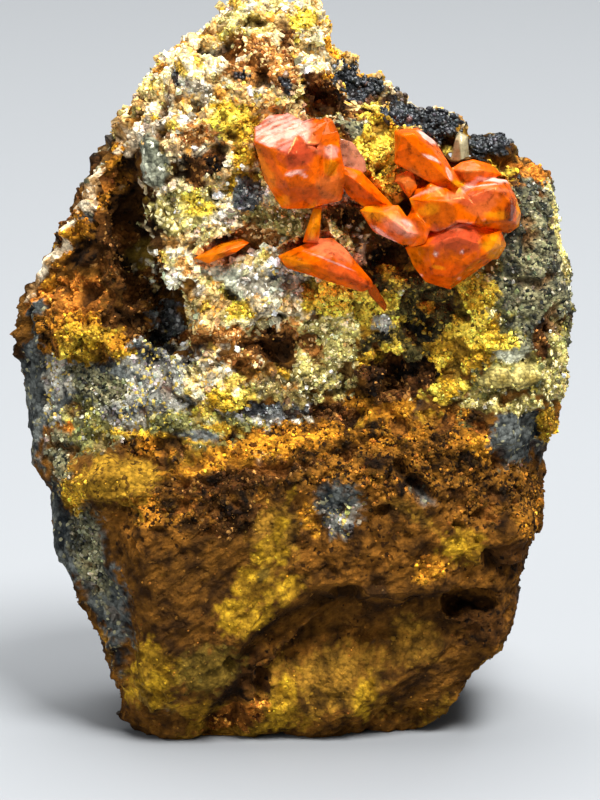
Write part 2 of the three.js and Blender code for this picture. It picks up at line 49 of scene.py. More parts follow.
MM = 0.001  # metres in a millimetre
GRID = 0.16  # mm, how fine the rock's surface is
MOST_TRIANGLES = 195000  # in one piece
SOCKET_FILL = 0.35  # mm, how far past its root's faces a crystal counts as rock, to fill its socket
CLUSTER_FRONT = -6.5  # mm, how far to the front the rock reaches round a root
TOOTH_FRONT = -3.9  # mm, the same at the tooth, which stands further back


def joined_up(node):
    """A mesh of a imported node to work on, in millimetres, with its loose triangles joined up."""
    work = bmesh.new()
    work.from_mesh(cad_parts[node].data)
    bmesh.ops.remove_doubles(work, verts=work.verts, dist=0.001 * MM)
    bmesh.ops.scale(work, verts=work.verts, vec=(1 / MM,) * 3)
    work.normal_update()
    return work


def mesh_of(work, name):
    """A working mesh as a mesh of that name."""
    mesh = bpy.data.meshes.new(name)
    work.to_mesh(mesh)
    return mesh


def add_to(work, other):
    """Adds a second working mesh to the first."""
    passing = mesh_of(other, "passing")
    work.from_mesh(passing)
    bpy.data.meshes.remove(passing)


def modified(mesh, modifiers, behind=()):
    """The mesh as modifiers change it, each with its kind and settings, with a group of its corners."""
    carrier = bpy.data.objects.new("carrier", mesh)
    scene.collection.objects.link(carrier)
    if len(behind):
        carrier.vertex_groups.new(name="behind").add(behind.tolist(), 1, "REPLACE")
    for kind, settings in modifiers:
        modifier = carrier.modifiers.new(kind, kind)
        for name, value in settings.items():
            setattr(modifier, name, value)
    made = bpy.data.meshes.new_from_object(carrier.evaluated_get(bpy.context.evaluated_depsgraph_get()))
    bpy.data.objects.remove(carrier)
    bpy.data.meshes.remove(mesh)
    return made


def finished(mesh, name, material, replaces=()):
    """The mesh, in millimetres, as a piece of the object, which rides on its only body."""
    mesh.transform(Matrix.Scale(MM, 4))
    mesh.materials.append(material)
    piece = bpy.data.objects.new(name, mesh)
    scene.collection.objects.link(piece)
    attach(piece, "root")
    if replaces:
        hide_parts(*replaces)


def read_off(items, attribute, width=1, kind=np.float32):
    """An attribute of all the corners, edges or faces of a mesh: a row for each, or a single value."""
    values = np.zeros(len(items) * width, kind)
    items.foreach_get(attribute, values)
    values = values.astype(float if kind is np.float32 else kind)
    return values.reshape(-1, width) if width > 1 else values


def arrays_of(mesh):
    """The places and the outward directions of a mesh's corners."""
    return read_off(mesh.vertices, "co", 3), read_off(mesh.vertex_normals, "vector", 3)


crystal_nodes = sorted(set(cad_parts) - {"matrix_rock"})
rock_work = joined_up("matrix_rock")
crystal_work = bmesh.new()
for node in crystal_nodes:
    crystal = joined_up(node)
    add_to(crystal_work, crystal)
    fill_to = TOOTH_FRONT if node == "cerussite_tooth" else CLUSTER_FRONT
    for corner in crystal.verts:
        corner.co += SOCKET_FILL * corner.normal
        corner.co.y = max(corner.co.y, fill_to)
    add_to(rock_work, crystal)
    crystal.free()
crystal_tree = BVHTree.FromBMesh(crystal_work)
crystal_work.free()

# Lumps that fill parts of its vugs: their middle, and how far they reach, in mm.
LUMPS_IN_VUGS = (
    (-3.6, -6.2, 28.6, 0.75), (-2.9, -6.1, 28.3, 0.75), (-3.3, -6.2, 28.9, 0.7), (-1.9, -5.9, 20.2, 0.75),
    (-2.5, -6.1, 20.1, 0.6), (-0.5, -5.9, 20.8, 0.6), (-1.3, -5.8, 19.9, 0.7), (1.9, -5.6, 32.1, 0.7),
    (1.2, -5.5, 32.9, 0.7), (0.1, -5.7, 32.7, 0.6), (3.4, -6.2, 18.4, 0.7), (3.8, -7.4, 11.6, 0.7),
    (4.6, -7.3, 11.7, 0.8), (5.4, -7.4, 11.5, 0.7), (4.6, -7.3, 11.1, 0.7), (3, -6.7, 7.9, 0.5),
    (1.3, -6.6, 7.7, 0.45),
)
for *middle, reach in LUMPS_IN_VUGS:
    bmesh.ops.create_icosphere(rock_work, subdivisions=2, radius=reach, matrix=Matrix.Translation(middle))

one_skin = [("REMESH", {"mode": "VOXEL", "voxel_size": GRID}), ("SMOOTH", {"factor": 0.5, "iterations": 1})]
rock_mesh = modified(mesh_of(rock_work, "rock"), one_skin)
rock_work.free()

# Its back is plain, so it is made coarser, and the front can be fine.
places, ways = arrays_of(rock_mesh)
behind = np.nonzero((ways[:, 1] > 0.35) | (places[:, 1] > 1) | (places[:, 2] < 0.3))[0]
coarser = {"ratio": min(1, MOST_TRIANGLES / (2 * len(rock_mesh.polygons))), "vertex_group": "behind"}
rock_mesh = modified(rock_mesh, [("DECIMATE", coarser)], behind)
places, ways = arrays_of(rock_mesh)

# Each mineral: its dark and light colour and the colour of its flecks (sRGB, 0 to 255), the share
# of flecks, how rough it is, and how high in mm its lumps, its slanting scales and its grit stand.
MINERALS = {
    "brown": ((54, 33, 11), (118, 76, 24), (126, 84, 30), 0.01, 0.95, 0.05, 0.1, 0.03),
    "umber": ((20, 12, 5), (82, 50, 17), (26, 16, 7), 0.08, 0.95, 0.14, 0.08, 0.08),
    "loam": ((20, 12, 5), (98, 60, 22), (166, 118, 60), 0.08, 0.95, 0.3, 0.03, 0.2),
    "russet": ((104, 60, 24), (212, 146, 74), (250, 206, 140), 0.25, 0.9, 0.4, 0, 0.16),
    "gravel": ((26, 15, 5), (152, 99, 31), (40, 24, 10), 0.2, 0.95, 0.24, 0.02, 0.17),
    "tan": ((56, 34, 10), (144, 92, 30), (60, 36, 12), 0.08, 0.95, 0.13, 0.08, 0.09),
    "mustard": ((118, 84, 12), (216, 168, 40), (214, 164, 44), 0.01, 0.95, 0.1, 0.05, 0.06),
    "lobe": ((92, 64, 14), (166, 124, 34), (90, 62, 18), 0.1, 0.97, 0.05, 0.02, 0.1),
    "moss": ((62, 47, 13), (128, 100, 35), (130, 108, 44), 0.02, 0.95, 0.06, 0.08, 0.03),
    "crumbs": ((36, 23, 8), (184, 120, 32), (44, 27, 11), 0.16, 0.95, 0.3, 0, 0.16),
    "ochre": ((132, 82, 16), (232, 160, 44), (96, 56, 15), 0.12, 0.95, 0.16, 0.03, 0.15),
    "gold": ((126, 90, 18), (234, 184, 52), (130, 96, 26), 0.15, 0.95, 0.24, 0.02, 0.1),
    "rust": ((78, 41, 13), (214, 132, 46), (222, 152, 60), 0.1, 0.9, 0.3, 0.06, 0.14),
    "lemon": ((184, 140, 28), (255, 226, 86), (112, 92, 34), 0.1, 0.9, 0.36, 0, 0.1),
    "olive": ((98, 86, 40), (220, 202, 116), (248, 230, 168), 0.25, 0.7, 0.3, 0, 0.08),
    "lichen": ((60, 58, 30), (152, 146, 84), (190, 168, 70), 0.15, 0.7, 0.2, 0, 0.08),
    "fawn": ((76, 52, 15), (168, 121, 38), (160, 118, 34), 0.01, 0.95, 0.08, 0.05, 0.05),
    # rim: pale chunks of the flank, and along the flank's left edge a painted highlight of that lit edge
    "rim": ((170, 130, 80), (250, 232, 196), (255, 240, 210), 0.05, 0.7, 0.1, 0, 0.06),
    # painted shade: its near-black stands for the shadow in the holes, with a few pale flecks
    "hollow_painted_shade": ((18, 11, 6), (104, 64, 28), (170, 118, 58), 0.12, 0.9, 0.5, 0, 0.16),
    "cream": ((190, 158, 102), (255, 248, 214), (248, 206, 120), 0.2, 0.6, 0.6, 0, 0.1),
    "sand": ((162, 118, 60), (252, 220, 146), (222, 156, 66), 0.2, 0.7, 0.56, 0, 0.1),
    "bars": ((96, 98, 80), (216, 216, 186), (236, 234, 208), 0.08, 0.4, 0.1, 0, 0.05),
    "honey": ((140, 120, 56), (218, 200, 120), (238, 222, 156), 0.03, 0.35, 0.08, 0, 0.03),
    "quartz": ((138, 126, 102), (232, 222, 194), (248, 242, 224), 0.25, 0.35, 0.24, 0, 0.04),
    "ash": ((54, 54, 42), (146, 140, 102), (38, 40, 34), 0.2, 0.6, 0.24, 0, 0.08),
    "galena": ((42, 44, 46), (204, 200, 182), (200, 172, 88), 0.18, 0.6, 0.16, 0, 0.1),
    "coal": ((24, 25, 27), (104, 106, 104), (176, 178, 174), 0.1, 0.5, 0.2, 0, 0.1),
    "soot": ((18, 17, 12), (104, 92, 50), (170, 140, 56), 0.14, 0.7, 0.36, 0, 0.14),
    "slate": ((30, 34, 36), (100, 103, 98), (132, 128, 100), 0.08, 0.7, 0.14, 0, 0.06),
    "oxide": ((9, 10, 11), (42, 45, 47), (70, 74, 78), 0.2, 0.35, 0.25, 0, 0.1),
}
NAMES = list(MINERALS)

# Where each mineral lies on the front, in mm, in the order they cover each other: the middle of the
# patch (to the right, and up as looked at a little from above), half its width and height, and its
# tilt in degrees if it has one.
FRONT_PATCHES = [
    # the lower wall
    ("brown", -6, 7, 5.5, 5.5),
    ("tan", 5.5, 9.8, 7, 3.6),
    ("tan", -7.2, 9.3, 2.4, 1.3),
    ("gravel", -3.4, 11.3, 4.6, 0.8, 8),
    ("gravel", 1.6, 12.2, 2.6, 0.8),
    ("loam", -3.6, 10, 2.4, 0.9),
    ("mustard", -0.4, 11.1, 0.22, 0.7, -25),
    ("fawn", -1.2, 9.2, 1.1, 1.6, -20),
    ("mustard", -0.9, 9.6, 0.35, 0.5, -20),
    ("mustard", -1.6, 8.4, 0.5, 0.9, -35),
    ("mustard", -0.9, 8, 0.3, 0.5, -20),
    ("ochre", 0.5, 9.9, 0.5, 0.9, 15),
    ("mustard", -2.3, 6.6, 1, 1.1, -30),
    ("mustard", -1, 6.2, 1.2, 0.7, 30),
    ("mustard", -2.8, 5.2, 1.1, 1.1, -20),
    ("moss", -1.8, 7.2, 0.5, 0.3, 30),
    ("mustard", -2, 4.8, 1, 0.3, 35),
    ("galena", 1.9, 10.3, 1, 1.2, -25),
    ("slate", 1.9, 11.2, 1.1, 0.9),
    ("slate", 5.5, 11.5, 1.3, 0.4, -45),
    ("mustard", 7.9, 8.6, 1.1, 0.9),
    ("ochre", 6.3, 7.4, 0.9, 0.5, 20),
    ("fawn", 5.4, 10.2, 1.4, 0.4, -30),
    ("crumbs", 10.8, 10.6, 1, 1.8),
    ("umber", 10.4, 8, 1.2, 1),
    ("brown", 4.9, 4.9, 6, 1.5, -3),
    ("tan", 2.2, 1.9, 5.8, 2.3),
    ("fawn", 2.4, 1.8, 4.8, 1.7),
    ("brown", 6.6, 2.6, 3, 1.6, 30),
    ("fawn", 5.6, 3.7, 1.3, 1.2),
    ("fawn", 1.2, 1.6, 0.9, 2.2, -14),
    ("mustard", -0.8, 0.8, 0.8, 1.5, -20),
    ("mustard", 3.2, 1.2, 0.5, 1.2, -10),
    # painted shadow: these two umber patches darken the rock along the crack
    ("umber", -2.9, 2.1, 1, 1.9, -35),
    ("umber", -1.8, 2, 0.3, 0.9, 20),
    ("moss", -4.7, 2.4, 1.7, 1.1, 20),
    ("mustard", -7.3, 2.1, 1.2, 1.7),
    ("brown", -7.3, -0.4, 2.2, 0.7),
    ("rust", -3.2, 0, 1.6, 0.6, 20),
    ("umber", 8.8, 4.8, 1.7, 1.2),
    # the narrow face that turns to the left
    ("slate", -9.9, 7, 1.1, 3.9, 14),
    ("slate", -11.6, 8.9, 1.1, 2.9),
    ("ash", -10.4, 8.6, 0.8, 2.6, 12),
    # the grey band on the left
    ("galena", -9.2, 16.2, 5.6, 3),
    ("slate", -13.2, 15.7, 0.7, 3.8),
    ("ash", -9.6, 16.4, 1.6, 1.2, -30),
    ("slate", -10.9, 15.2, 1.2, 0.8),
    ("slate", -9.4, 17.3, 1.6, 0.4, -20),
    ("galena", -2.9, 14.5, 4.4, 0.8),
    ("lichen", -10.3, 14.2, 1.8, 1.4),
    ("lichen", -5.4, 14.2, 3.2, 0.8, -6),
    ("galena", -8.6, 14.9, 1.2, 0.6, -20),
    ("gold", -6.4, 13.9, 2.6, 0.25, -4),
    ("lemon", -4.6, 15, 0.9, 0.3, -10),
    ("slate", -4.6, 14, 1.6, 0.3),
    ("coal", -1, 15.2, 2, 0.5, 5),
    ("lichen", -3.2, 14.4, 1.7, 0.6, -10),
    ("gold", -3.6, 14.3, 1.2, 0.25, -10),
    ("quartz", 0.3, 14.7, 0.5, 0.3),
    ("rust", -11.4, 14.3, 0.4, 0.3),
    # the ledge
    ("gravel", -1.4, 12, 5.4, 0.9, 8),
    ("gravel", 5.6, 13.1, 5.4, 2),
    ("gravel", 9.4, 11.4, 2.4, 1.9),
    ("crumbs", 1.5, 13.9, 5, 0.9, 3),
    ("crumbs", 7.4, 14.4, 2, 0.9),
    ("hollow_painted_shade", 1.8, 15.1, 1.4, 0.5),
    ("hollow_painted_shade", 4.4, 16, 1.4, 0.5),
    ("ochre", -2.3, 13.3, 3.4, 0.6, 15),
    ("ochre", -5.8, 12.2, 2.2, 0.3, 12),
    ("ochre", 0.8, 14, 1.4, 0.3, 5),
    ("crumbs", 2.9, 15.7, 0.9, 0.5),
    ("ochre", 4.2, 15.2, 1.4, 0.4, 10),
    ("ochre", 9, 13.5, 0.8, 0.6),
    ("gold", 6.2, 14.9, 0.6, 0.4),
    ("crumbs", -7.4, 10.6, 2.4, 0.8, -14),
    ("lobe", -8.8, 11.9, 2.1, 1.5),
    ("gold", -11.1, 11.3, 0.6, 1.2),
    ("ash", -11.8, 13.2, 0.6, 1.4),
    ("crumbs", -7.2, 13.4, 1.8, 0.5),
    ("loam", -3.2, 11.8, 3.6, 0.7, 8),
    # the left flank
    ("loam", -9.7, 23, 3.9, 3.6),
    ("crumbs", -10.6, 24.4, 3.4, 1, 59),
    # painted shadow: this umber and the long one lower down darken the gap between the flank and the crust
    ("umber", -8.3, 25.8, 1, 2.2),
    ("crumbs", -9, 26.6, 0.9, 0.8),
    ("rust", -9.5, 26.1, 0.6, 0.4, 20),
    ("brown", -11.4, 20.5, 2.9, 1.9),
    ("rust", -11.3, 20.6, 2.2, 1.3),
    ("loam", -8.6, 19.5, 1.5, 1.1),
    ("ochre", -10.6, 19.3, 1.3, 1),
    ("ochre", -9.9, 18.4, 1.9, 0.8),
    ("gold", -10.1, 18, 1.8, 0.6),
    ("slate", -12.9, 19.1, 0.6, 1.5),
    # painted highlight: a thin pale line along the lit left edge of the flank
    ("rim", -11.3, 24.5, 4.6, 0.3, 59),
    ("rim", -8.3, 28.2, 1, 0.6, 30),
    ("ochre", -9.3, 27.6, 0.7, 0.4, 50),
    ("rim", -10.5, 25.3, 0.6, 0.45),
    ("ochre", -10.9, 24, 0.9, 0.35, 20),
    ("slate", -10.2, 24.6, 0.7, 0.2, -10),
    ("umber", -10.4, 22.9, 1.2, 0.6, 30),
    ("ochre", -12.4, 21.3, 0.4, 0.4),
    # painted shadow in the gap beside the crust
    ("umber", -6.8, 24.4, 1.1, 3.2),
    ("loam", -7.9, 22.4, 1.6, 1.1),
    ("moss", -7.6, 22.9, 0.8, 0.8, 20),
    ("hollow_painted_shade", -7.3, 21.3, 1.4, 0.5),
    ("coal", -6.3, 19.5, 0.9, 1.3),
    ("crumbs", -12.2, 18.9, 0.8, 1.2),
    ("gold", -10.2, 18.9, 1.6, 0.45),
    ("lemon", -10.3, 18.3, 1.2, 0.4),
    # the crust
    ("cream", -1.9, 25.3, 5.3, 8.2),
    ("sand", -2.4, 30.7, 3.9, 4.4),
    ("cream", -5.3, 31.5, 1.2, 1.4),
    ("cream", -1.2, 34.4, 2.9, 0.9),
    ("lemon", 0.4, 34, 1, 0.6),
    ("sand", -1.8, 33.8, 1.3, 0.9),
    ("russet", -2.4, 32.4, 1.6, 0.8),
    ("sand", -2.4, 30.2, 2.9, 1.6),
    ("russet", -2.6, 31.4, 1.2, 0.6),
    ("russet", -0.9, 31.5, 0.9, 1),
    ("hollow_painted_shade", -0.7, 33.1, 0.4, 0.6),
    ("cream", 1, 32.2, 1.1, 2.1),
    ("ochre", 2, 32.9, 0.7, 0.4, -30),
    ("ochre", 1.5, 31.3, 0.6, 0.3),
    ("oxide", 2.4, 31.5, 0.6, 0.9),
    ("oxide", -2.9, 31.2, 0.4, 0.25),
    ("oxide", -0.6, 30.7, 0.2, 0.6, 5),
    ("coal", -5.7, 30.9, 0.25, 0.35),
    ("bars", -6.9, 27.4, 0.6, 1.6, 8),
    ("sand", -5.3, 28.8, 2.2, 1.5),
    ("russet", -4.4, 28.5, 1.3, 0.7),
    ("lemon", -3.3, 28.9, 1.4, 0.9, -15),
    ("gold", -2.2, 27.3, 1.1, 0.6),
    ("hollow_painted_shade", -4.1, 27.1, 0.7, 0.5),
    ("hollow_painted_shade", -5.1, 26.6, 0.7, 0.8),
    ("olive", -5.8, 24.7, 1.5, 1.1),
    ("lemon", -5.2, 25.4, 0.5, 0.4),
    ("lemon", -4.6, 24.8, 0.7, 0.3),
    ("gold", -2.7, 25.9, 1.1, 0.8),
    ("coal", -2.5, 25.5, 0.9, 0.85),
    ("olive", -0.5, 24.2, 2.4, 0.9),
    ("russet", -1.7, 23.5, 1.5, 0.4),
    ("cream", -4.8, 22.2, 1.3, 1.2),
    ("bars", -3.5, 21.5, 1.3, 0.7, -30),
    ("quartz", -2.4, 21.3, 0.6, 0.7),
    ("lemon", -3.3, 20, 1, 0.5),
    ("quartz", -0.5, 21.3, 1.9, 0.7),
    ("galena", -0.7, 21.8, 1, 0.6),
    ("lemon", 2.2, 20.5, 2.2, 1.3, -8),
    ("sand", -4.6, 20.1, 1.2, 1.5),
    ("russet", -4.1, 18.8, 1.9, 0.5),
    ("hollow_painted_shade", -0.7, 18.4, 2.2, 0.8),
    ("russet", 0, 19.1, 1, 0.5),
    ("russet", -3, 17.6, 1, 0.5),
    ("cream", -4.1, 16.4, 1.7, 1.3),
    ("lemon", -3.5, 15.7, 1.1, 0.6, -20),
    ("sand", -0.7, 16.4, 1.9, 0.9),
    ("olive", 1.2, 17.1, 1.7, 1.5),
    ("russet", 0.6, 18.6, 0.6, 0.8),
    ("olive", 1.5, 19.1, 1.5, 0.8),
    # the right shoulder
    ("lichen", 10.2, 20, 3.6, 5.4),
    ("olive", 7.3, 19.6, 2.9, 3.4),
    ("ash", 11.2, 22.5, 2.4, 4.8),
    ("gold", 7.5, 19.1, 2.2, 2.9),
    ("lemon", 7.9, 20.3, 1.7, 1.7),
    ("lemon", 8.9, 18.6, 0.9, 0.6),
    ("lemon", 7, 16.7, 1.3, 1.2),
    ("soot", 5.6, 20.2, 1.7, 2.0),
    ("olive", 4.6, 20.6, 0.7, 0.5, 20),
    ("lemon", 5.2, 19.2, 1.1, 0.3, -25),
    ("soot", 4.6, 18.2, 1.6, 1.2),
    ("galena", 3.9, 19.4, 0.6, 0.4),
    ("soot", 4.3, 21.7, 1.1, 1.1),
    ("lemon", 4.2, 20.4, 0.7, 0.5),
    ("gold", 4.2, 22, 0.4, 0.4),
    ("lemon", 4.7, 21.4, 0.3, 0.25),
    ("olive", 2.2, 23.3, 0.5, 0.8, 20),
    ("ochre", 6.1, 20.1, 0.3, 0.25),
    ("lemon", 4.4, 18.2, 0.6, 0.35),
    ("gold", 3.4, 17.6, 0.7, 0.4, 20),
    ("hollow_painted_shade", 4.8, 16.9, 2.0, 0.8),
    ("hollow_painted_shade", 4.6, 23, 1.2, 0.7),
    ("ash", 10.7, 25.2, 1.6, 1.3),
    ("rust", 10.8, 26.7, 1.6, 0.8),
    ("lemon", 9.3, 26.7, 1.1, 0.5),
    ("ash", 11.2, 23.5, 1.8, 2.4),
    ("bars", 10.2, 18, 0.8, 0.5),
    ("honey", 9.5, 16.8, 0.9, 0.5, 4),
    ("honey", 10.9, 16.9, 0.8, 0.6),
    ("olive", 12.5, 23.8, 0.25, 2.6, 10),
    ("lichen", 10.9, 15.2, 0.4, 0.9),
    ("lemon", 9.4, 18.5, 1.3, 0.4),
    ("olive", 12.4, 16.7, 0.8, 1.9),
    ("slate", 10.7, 14.2, 1.6, 1.5),
    ("olive", 9.7, 15.6, 2.2, 0.6),
    ("gold", 12.1, 14.5, 0.6, 0.8),
    ("hollow_painted_shade", 11.6, 18.6, 0.4, 1),
    ("olive", 8.8, 22.4, 1, 0.7),
    # the yellow powder above the crystals and the black oxide of the skyline
    ("lemon", 3.4, 28.3, 1.8, 2.4, -20),
    ("lemon", 4.1, 25.9, 0.9, 1.3),
    ("ash", 2.5, 28.9, 0.8, 0.7),
    ("oxide", 3.2, 31.5, 1.3, 1.1, 40),
    ("oxide", 5.3, 30, 1.5, 0.9, 20),
    ("oxide", 7, 29.3, 1.3, 1.2, 30),
    ("oxide", 9.2, 28.1, 1.1, 0.9),
    ("hollow_painted_shade", 1.7, 30.2, 1.7, 0.7, -30),
    ("hollow_painted_shade", 2.4, 24.7, 1, 0.6),
]
LOOKED_FROM = math.radians(12)  # how far above level the front is looked at
FRONT_DEPTH = 1.5  # mm, how far back the minerals of the front reach


def linear(colour):
    """An sRGB colour of 0 to 255 as linear light."""
    share = np.asarray(colour, float) / 255
    return np.where(share <= 0.04045, share / 12.92, ((share + 0.055) / 1.055) ** 2.4)


def swell(places, wavelength, seed):
    """Smooth noise about zero at each place, with waves of that length in mm."""
    shift = Vector((7.3 * seed, -3.9 * seed, 5.1 * seed))
    return np.array([noise.noise(Vector(p) + shift) for p in places / wavelength])


def ease(values, low, high):
    """0 below low, 1 above high, and a smooth step between."""
    share = np.clip((values - low) / (high - low), 0, 1)
    return share * share * (3 - 2 * share)


def seen_from_front(places):
    """How far to the right and how far up each place is, as looked at a little from above."""
    return places[:, 0], places[:, 2] * math.cos(LOOKED_FROM) + places[:, 1] * math.sin(LOOKED_FROM)


def reach_from(right, up, x, z, wide, tall, tilt=0):
    """How far each place is from the middle of a tilted oval: 1 at its rim."""
    lean = math.radians(tilt)
    along = (right - x) * math.cos(lean) + (up - z) * math.sin(lean)
    across = (up - z) * math.cos(lean) - (right - x) * math.sin(lean)
    return np.hypot(along / wide, across / tall)


right, up = seen_from_front(places)
wander = 0.9 * swell(places, 1.6, 1) + 0.55 * swell(places, 0.6, 2)
fray = swell(places, 0.28, 3)
drift = 0.5 + 0.9 * swell(places, 1.1, 4) + 0.7 * swell(places, 0.35, 5)
on_front = ease(0.35 - ways[:, 1], 0, 0.3) * ease(FRONT_DEPTH - places[:, 1] + 2 * wander, 0, 1.5)


def lumps(size, seed):
    """Close-set lumps: how far up its lump each place is, 0 in the crevices, and a number for the lump."""
    curl = np.array([noise.noise_vector(Vector(p)) for p in places / (1.2 * size)])
    found = [noise.voronoi(Vector(p)) for p in (places + 0.3 * size * curl) / size + 9.1 * seed]
    inner = np.array([near[1] - near[0] for near, _ in found])
    hearts = np.array([points[0] for _, points in found])
    number = np.abs(np.sin(hearts @ (12.9898, 78.233, 37.719)) * 43758.5453)
    return np.sqrt(np.clip(2.6 * inner, 0, 1)), number % 1


noise.seed_set(1)  # the same noise vectors in each run
block_rise, _ = lumps(2.1, 3)
big_rise, big_number = lumps(1.15, 1)
mid_rise, mid_number = lumps(0.55, 2)
drift += 0.5 * (mid_number - 0.5)

tint = np.zeros_like(places)
fleck = np.zeros_like(places)
traits = np.zeros((len(places), 5))  # share of flecks, roughness, lumps, scales, grit
mineral = np.zeros(len(places), int)


def stain(name, cover, in_clumps=0.0):
    """Lays a mineral over the rock: thinly where the cover is low, or lump by lump."""
    dark, light, flecks, *traits_of_it = MINERALS[name]
    shade = np.clip(drift, 0, 1)[:, None]
    clumped = np.clip((1.08 * cover - mid_number) / 0.12, 0, 1)
    cover = np.clip(cover * (1 - in_clumps) + clumped * in_clumps, 0, 1)
    blend = cover[:, None]
    tint[:] = tint * (1 - blend) + (linear(dark) * (1 - shade) + linear(light) * shade) * blend
    fleck[:] = fleck * (1 - blend) + linear(flecks) * blend
    traits[:] = traits * (1 - blend) + np.array(traits_of_it) * blend
    mineral[cover > 0.5] = NAMES.index(name)


# what lies all round, also on the back
stain("brown", np.ones(len(places)))
stain("tan", ease(swell(places, 5, 11) + 0.4 * wander, -0.1, 0.4))
stain("slate", 0.6 * ease(swell(places, 4.2, 12) + 0.4 * wander + 0.4 * fray, 0.1, 0.6), 0.5)
stain("umber", ease(swell(places, 3.4, 13) + 0.3 * wander, 0.1, 0.4))
stain("mustard", 0.45 * ease(swell(places, 3.0, 14) + 0.3 * wander + 0.4 * fray, 0.2, 0.5))
in_wall = on_front * (1 - ease(up - 13.2, -1, 1))
stain("ash", 0.6 * ease(swell(places, 2.6, 15) + 0.3 * wander, 0.2, 0.6) * (1 - in_wall), 0.7)
stain("sand", ease(places[:, 2] - 29 + 3 * wander, 0, 2), 1 - ease(ways[:, 1], 0.1, 0.5))

above_ledge = ease(up - 13.2 + 0.6 * wander, 0, 1)
broken = 1 - ease(swell(places, 0.9, 31) + 0.6 * swell(places, 0.35, 32), -0.3, 0.1)
for name, *oval in FRONT_PATCHES:
    edge = 1.2 - reach_from(right, up, *oval) + 0.36 * wander + (0.3 + 0.25 * (1 - above_ledge)) * fray
    thin = 1 - 0.5 * broken if name in ("mustard", "fawn") else 1
    stain(name, on_front * ease(edge, 0.05, 0.4) * thin, above_ledge)

# single lumps of other minerals in the crust
in_crust = np.isin(mineral, [NAMES.index("cream"), NAMES.index("sand")]).astype(float)
IN_CRUST = (("quartz", 0, 0.13), ("lemon", 0.2, 0.3), ("olive", 0.4, 0.5), ("ochre", 0.6, 0.66))
for name, least, most in IN_CRUST:
    stain(name, 0.85 * in_crust * (mid_number > least) * (mid_number < most))
stain("olive", 0.7 * in_crust * (big_number < 0.16))
stain("cream", 0.8 * in_crust * (big_number > 0.8))
flecks_share, roughness, lump_height, scale_height, grit_height = traits.T

# Knobs and holes of the front: their middle (to the right, and up), half their width and height,
# and how far they stand out or, below zero, go in.
KNOBS_AND_HOLES = (
    # in the crust
    (-3.9, 27.4, 0.15, 0.4, -0.6), (-5.6, 26.6, 0.5, 0.4, -0.8), (-3.1, 27.5, 0.3, 0.2, -0.5),
    (-4.6, 28.6, 0.25, 0.25, -0.4), (-2.2, 18.4, 0.7, 0.3, -0.8), (-0.9, 18.1, 0.6, 0.4, -0.8),
    (0.6, 18.5, 0.5, 0.3, -0.7), (-4.2, 25.2, 0.3, 0.3, -0.5), (-2.6, 23.2, 0.9, 0.2, -0.6),
    (-1.0, 23.6, 0.6, 0.2, -0.5), (-5.0, 30.4, 0.3, 0.3, -0.4), (-2.0, 31.4, 0.3, 0.3, -0.4),
    (-0.2, 33.0, 0.3, 0.3, -0.4), (-5.1, 16.4, 0.6, 0.5, 0.5), (-3.6, 15.9, 0.9, 0.6, 0.55),
    (-4.4, 19.6, 0.5, 0.7, 0.3), (-7.3, 27.0, 0.5, 1.4, 0.35), (0.8, 31.3, 0.5, 0.5, 0.5),
    (-5.6, 31.4, 0.8, 1.1, 0.3), (-3.6, 29.0, 0.8, 0.6, 0.3), (2.2, 34.4, 0.5, 0.5, 0.3),
    # on the right shoulder
    (5.3, 20.5, 0.4, 0.4, -0.5), (6.3, 19.3, 0.5, 0.4, -0.5), (6.8, 21.0, 0.4, 0.3, -0.5),
    (9.5, 16.8, 0.9, 0.4, 0.3), (10.9, 16.9, 0.7, 0.5, 0.35),
    # in the lower wall
    (4.8, 12.3, 0.3, 0.5, -0.9), (5.4, 11.6, 0.5, 0.45, -1.2), (6, 11.1, 0.45, 0.35, -1),
    (7.7, 9.6, 0.35, 0.15, -0.5), (9.2, 8.0, 0.4, 0.4, -0.7), (8.6, 8.9, 0.2, 0.2, -0.3),
    (-5.3, 9.7, 0.3, 0.2, -0.25), (-6.9, 9.4, 0.5, 0.2, -0.2), (2.2, 6.4, 0.8, 0.25, -0.5),
    (-3.4, 2.5, 0.35, 0.8, -0.5), (-1.8, 2.0, 0.3, 0.8, -0.4),
    # on the left flank
    (-7.6, 22.9, 0.7, 0.7, 0.5), (-10.6, 25.2, 0.6, 0.45, 0.25), (-11.0, 24.0, 0.8, 0.35, 0.25),
    (-11.2, 18.3, 1.0, 0.45, 0.9), (-9.9, 18.3, 0.9, 0.45, 0.5), (-12.5, 23.4, 0.5, 0.5, -0.5),
    (-9.6, 28.5, 0.5, 0.5, -0.5),
)
# The ledge's lip, and the crack across the wall, as points to the right and up.
LEDGE = ((-10.5, 11.6), (-8.2, 11.2), (-5.8, 11.9), (-2.9, 12.6), (0, 13.5), (2.9, 13.9), (5.8, 13.7),
         (9, 13.4))
CRACK = ((-4.9, -1), (-4.3, 0.8), (-3.1, 1.9), (-2.8, 3.7), (-2.2, 4.5), (-0.6, 5.4), (0.7, 6.3), (2.8, 6.3),
         (3.5, 5.7), (6, 6.2), (8.1, 6.2), (10.5, 5.9))
# Swells of the flanks: their height, their middle up the flank and reach, their side (1 is right),
# and how far out on that side they start and are full.
FLANK_SWELLS = (
    (0.6, 9.7, 1.7, 1, 8.5, 10.5),
    (-0.6, 1.6, 1.6, 1, 6.5, 9),
    (-0.5, 4.4, 1.6, -1, 7.5, 9),
    (-0.3, 24, 3, -1, 7, 9),
)
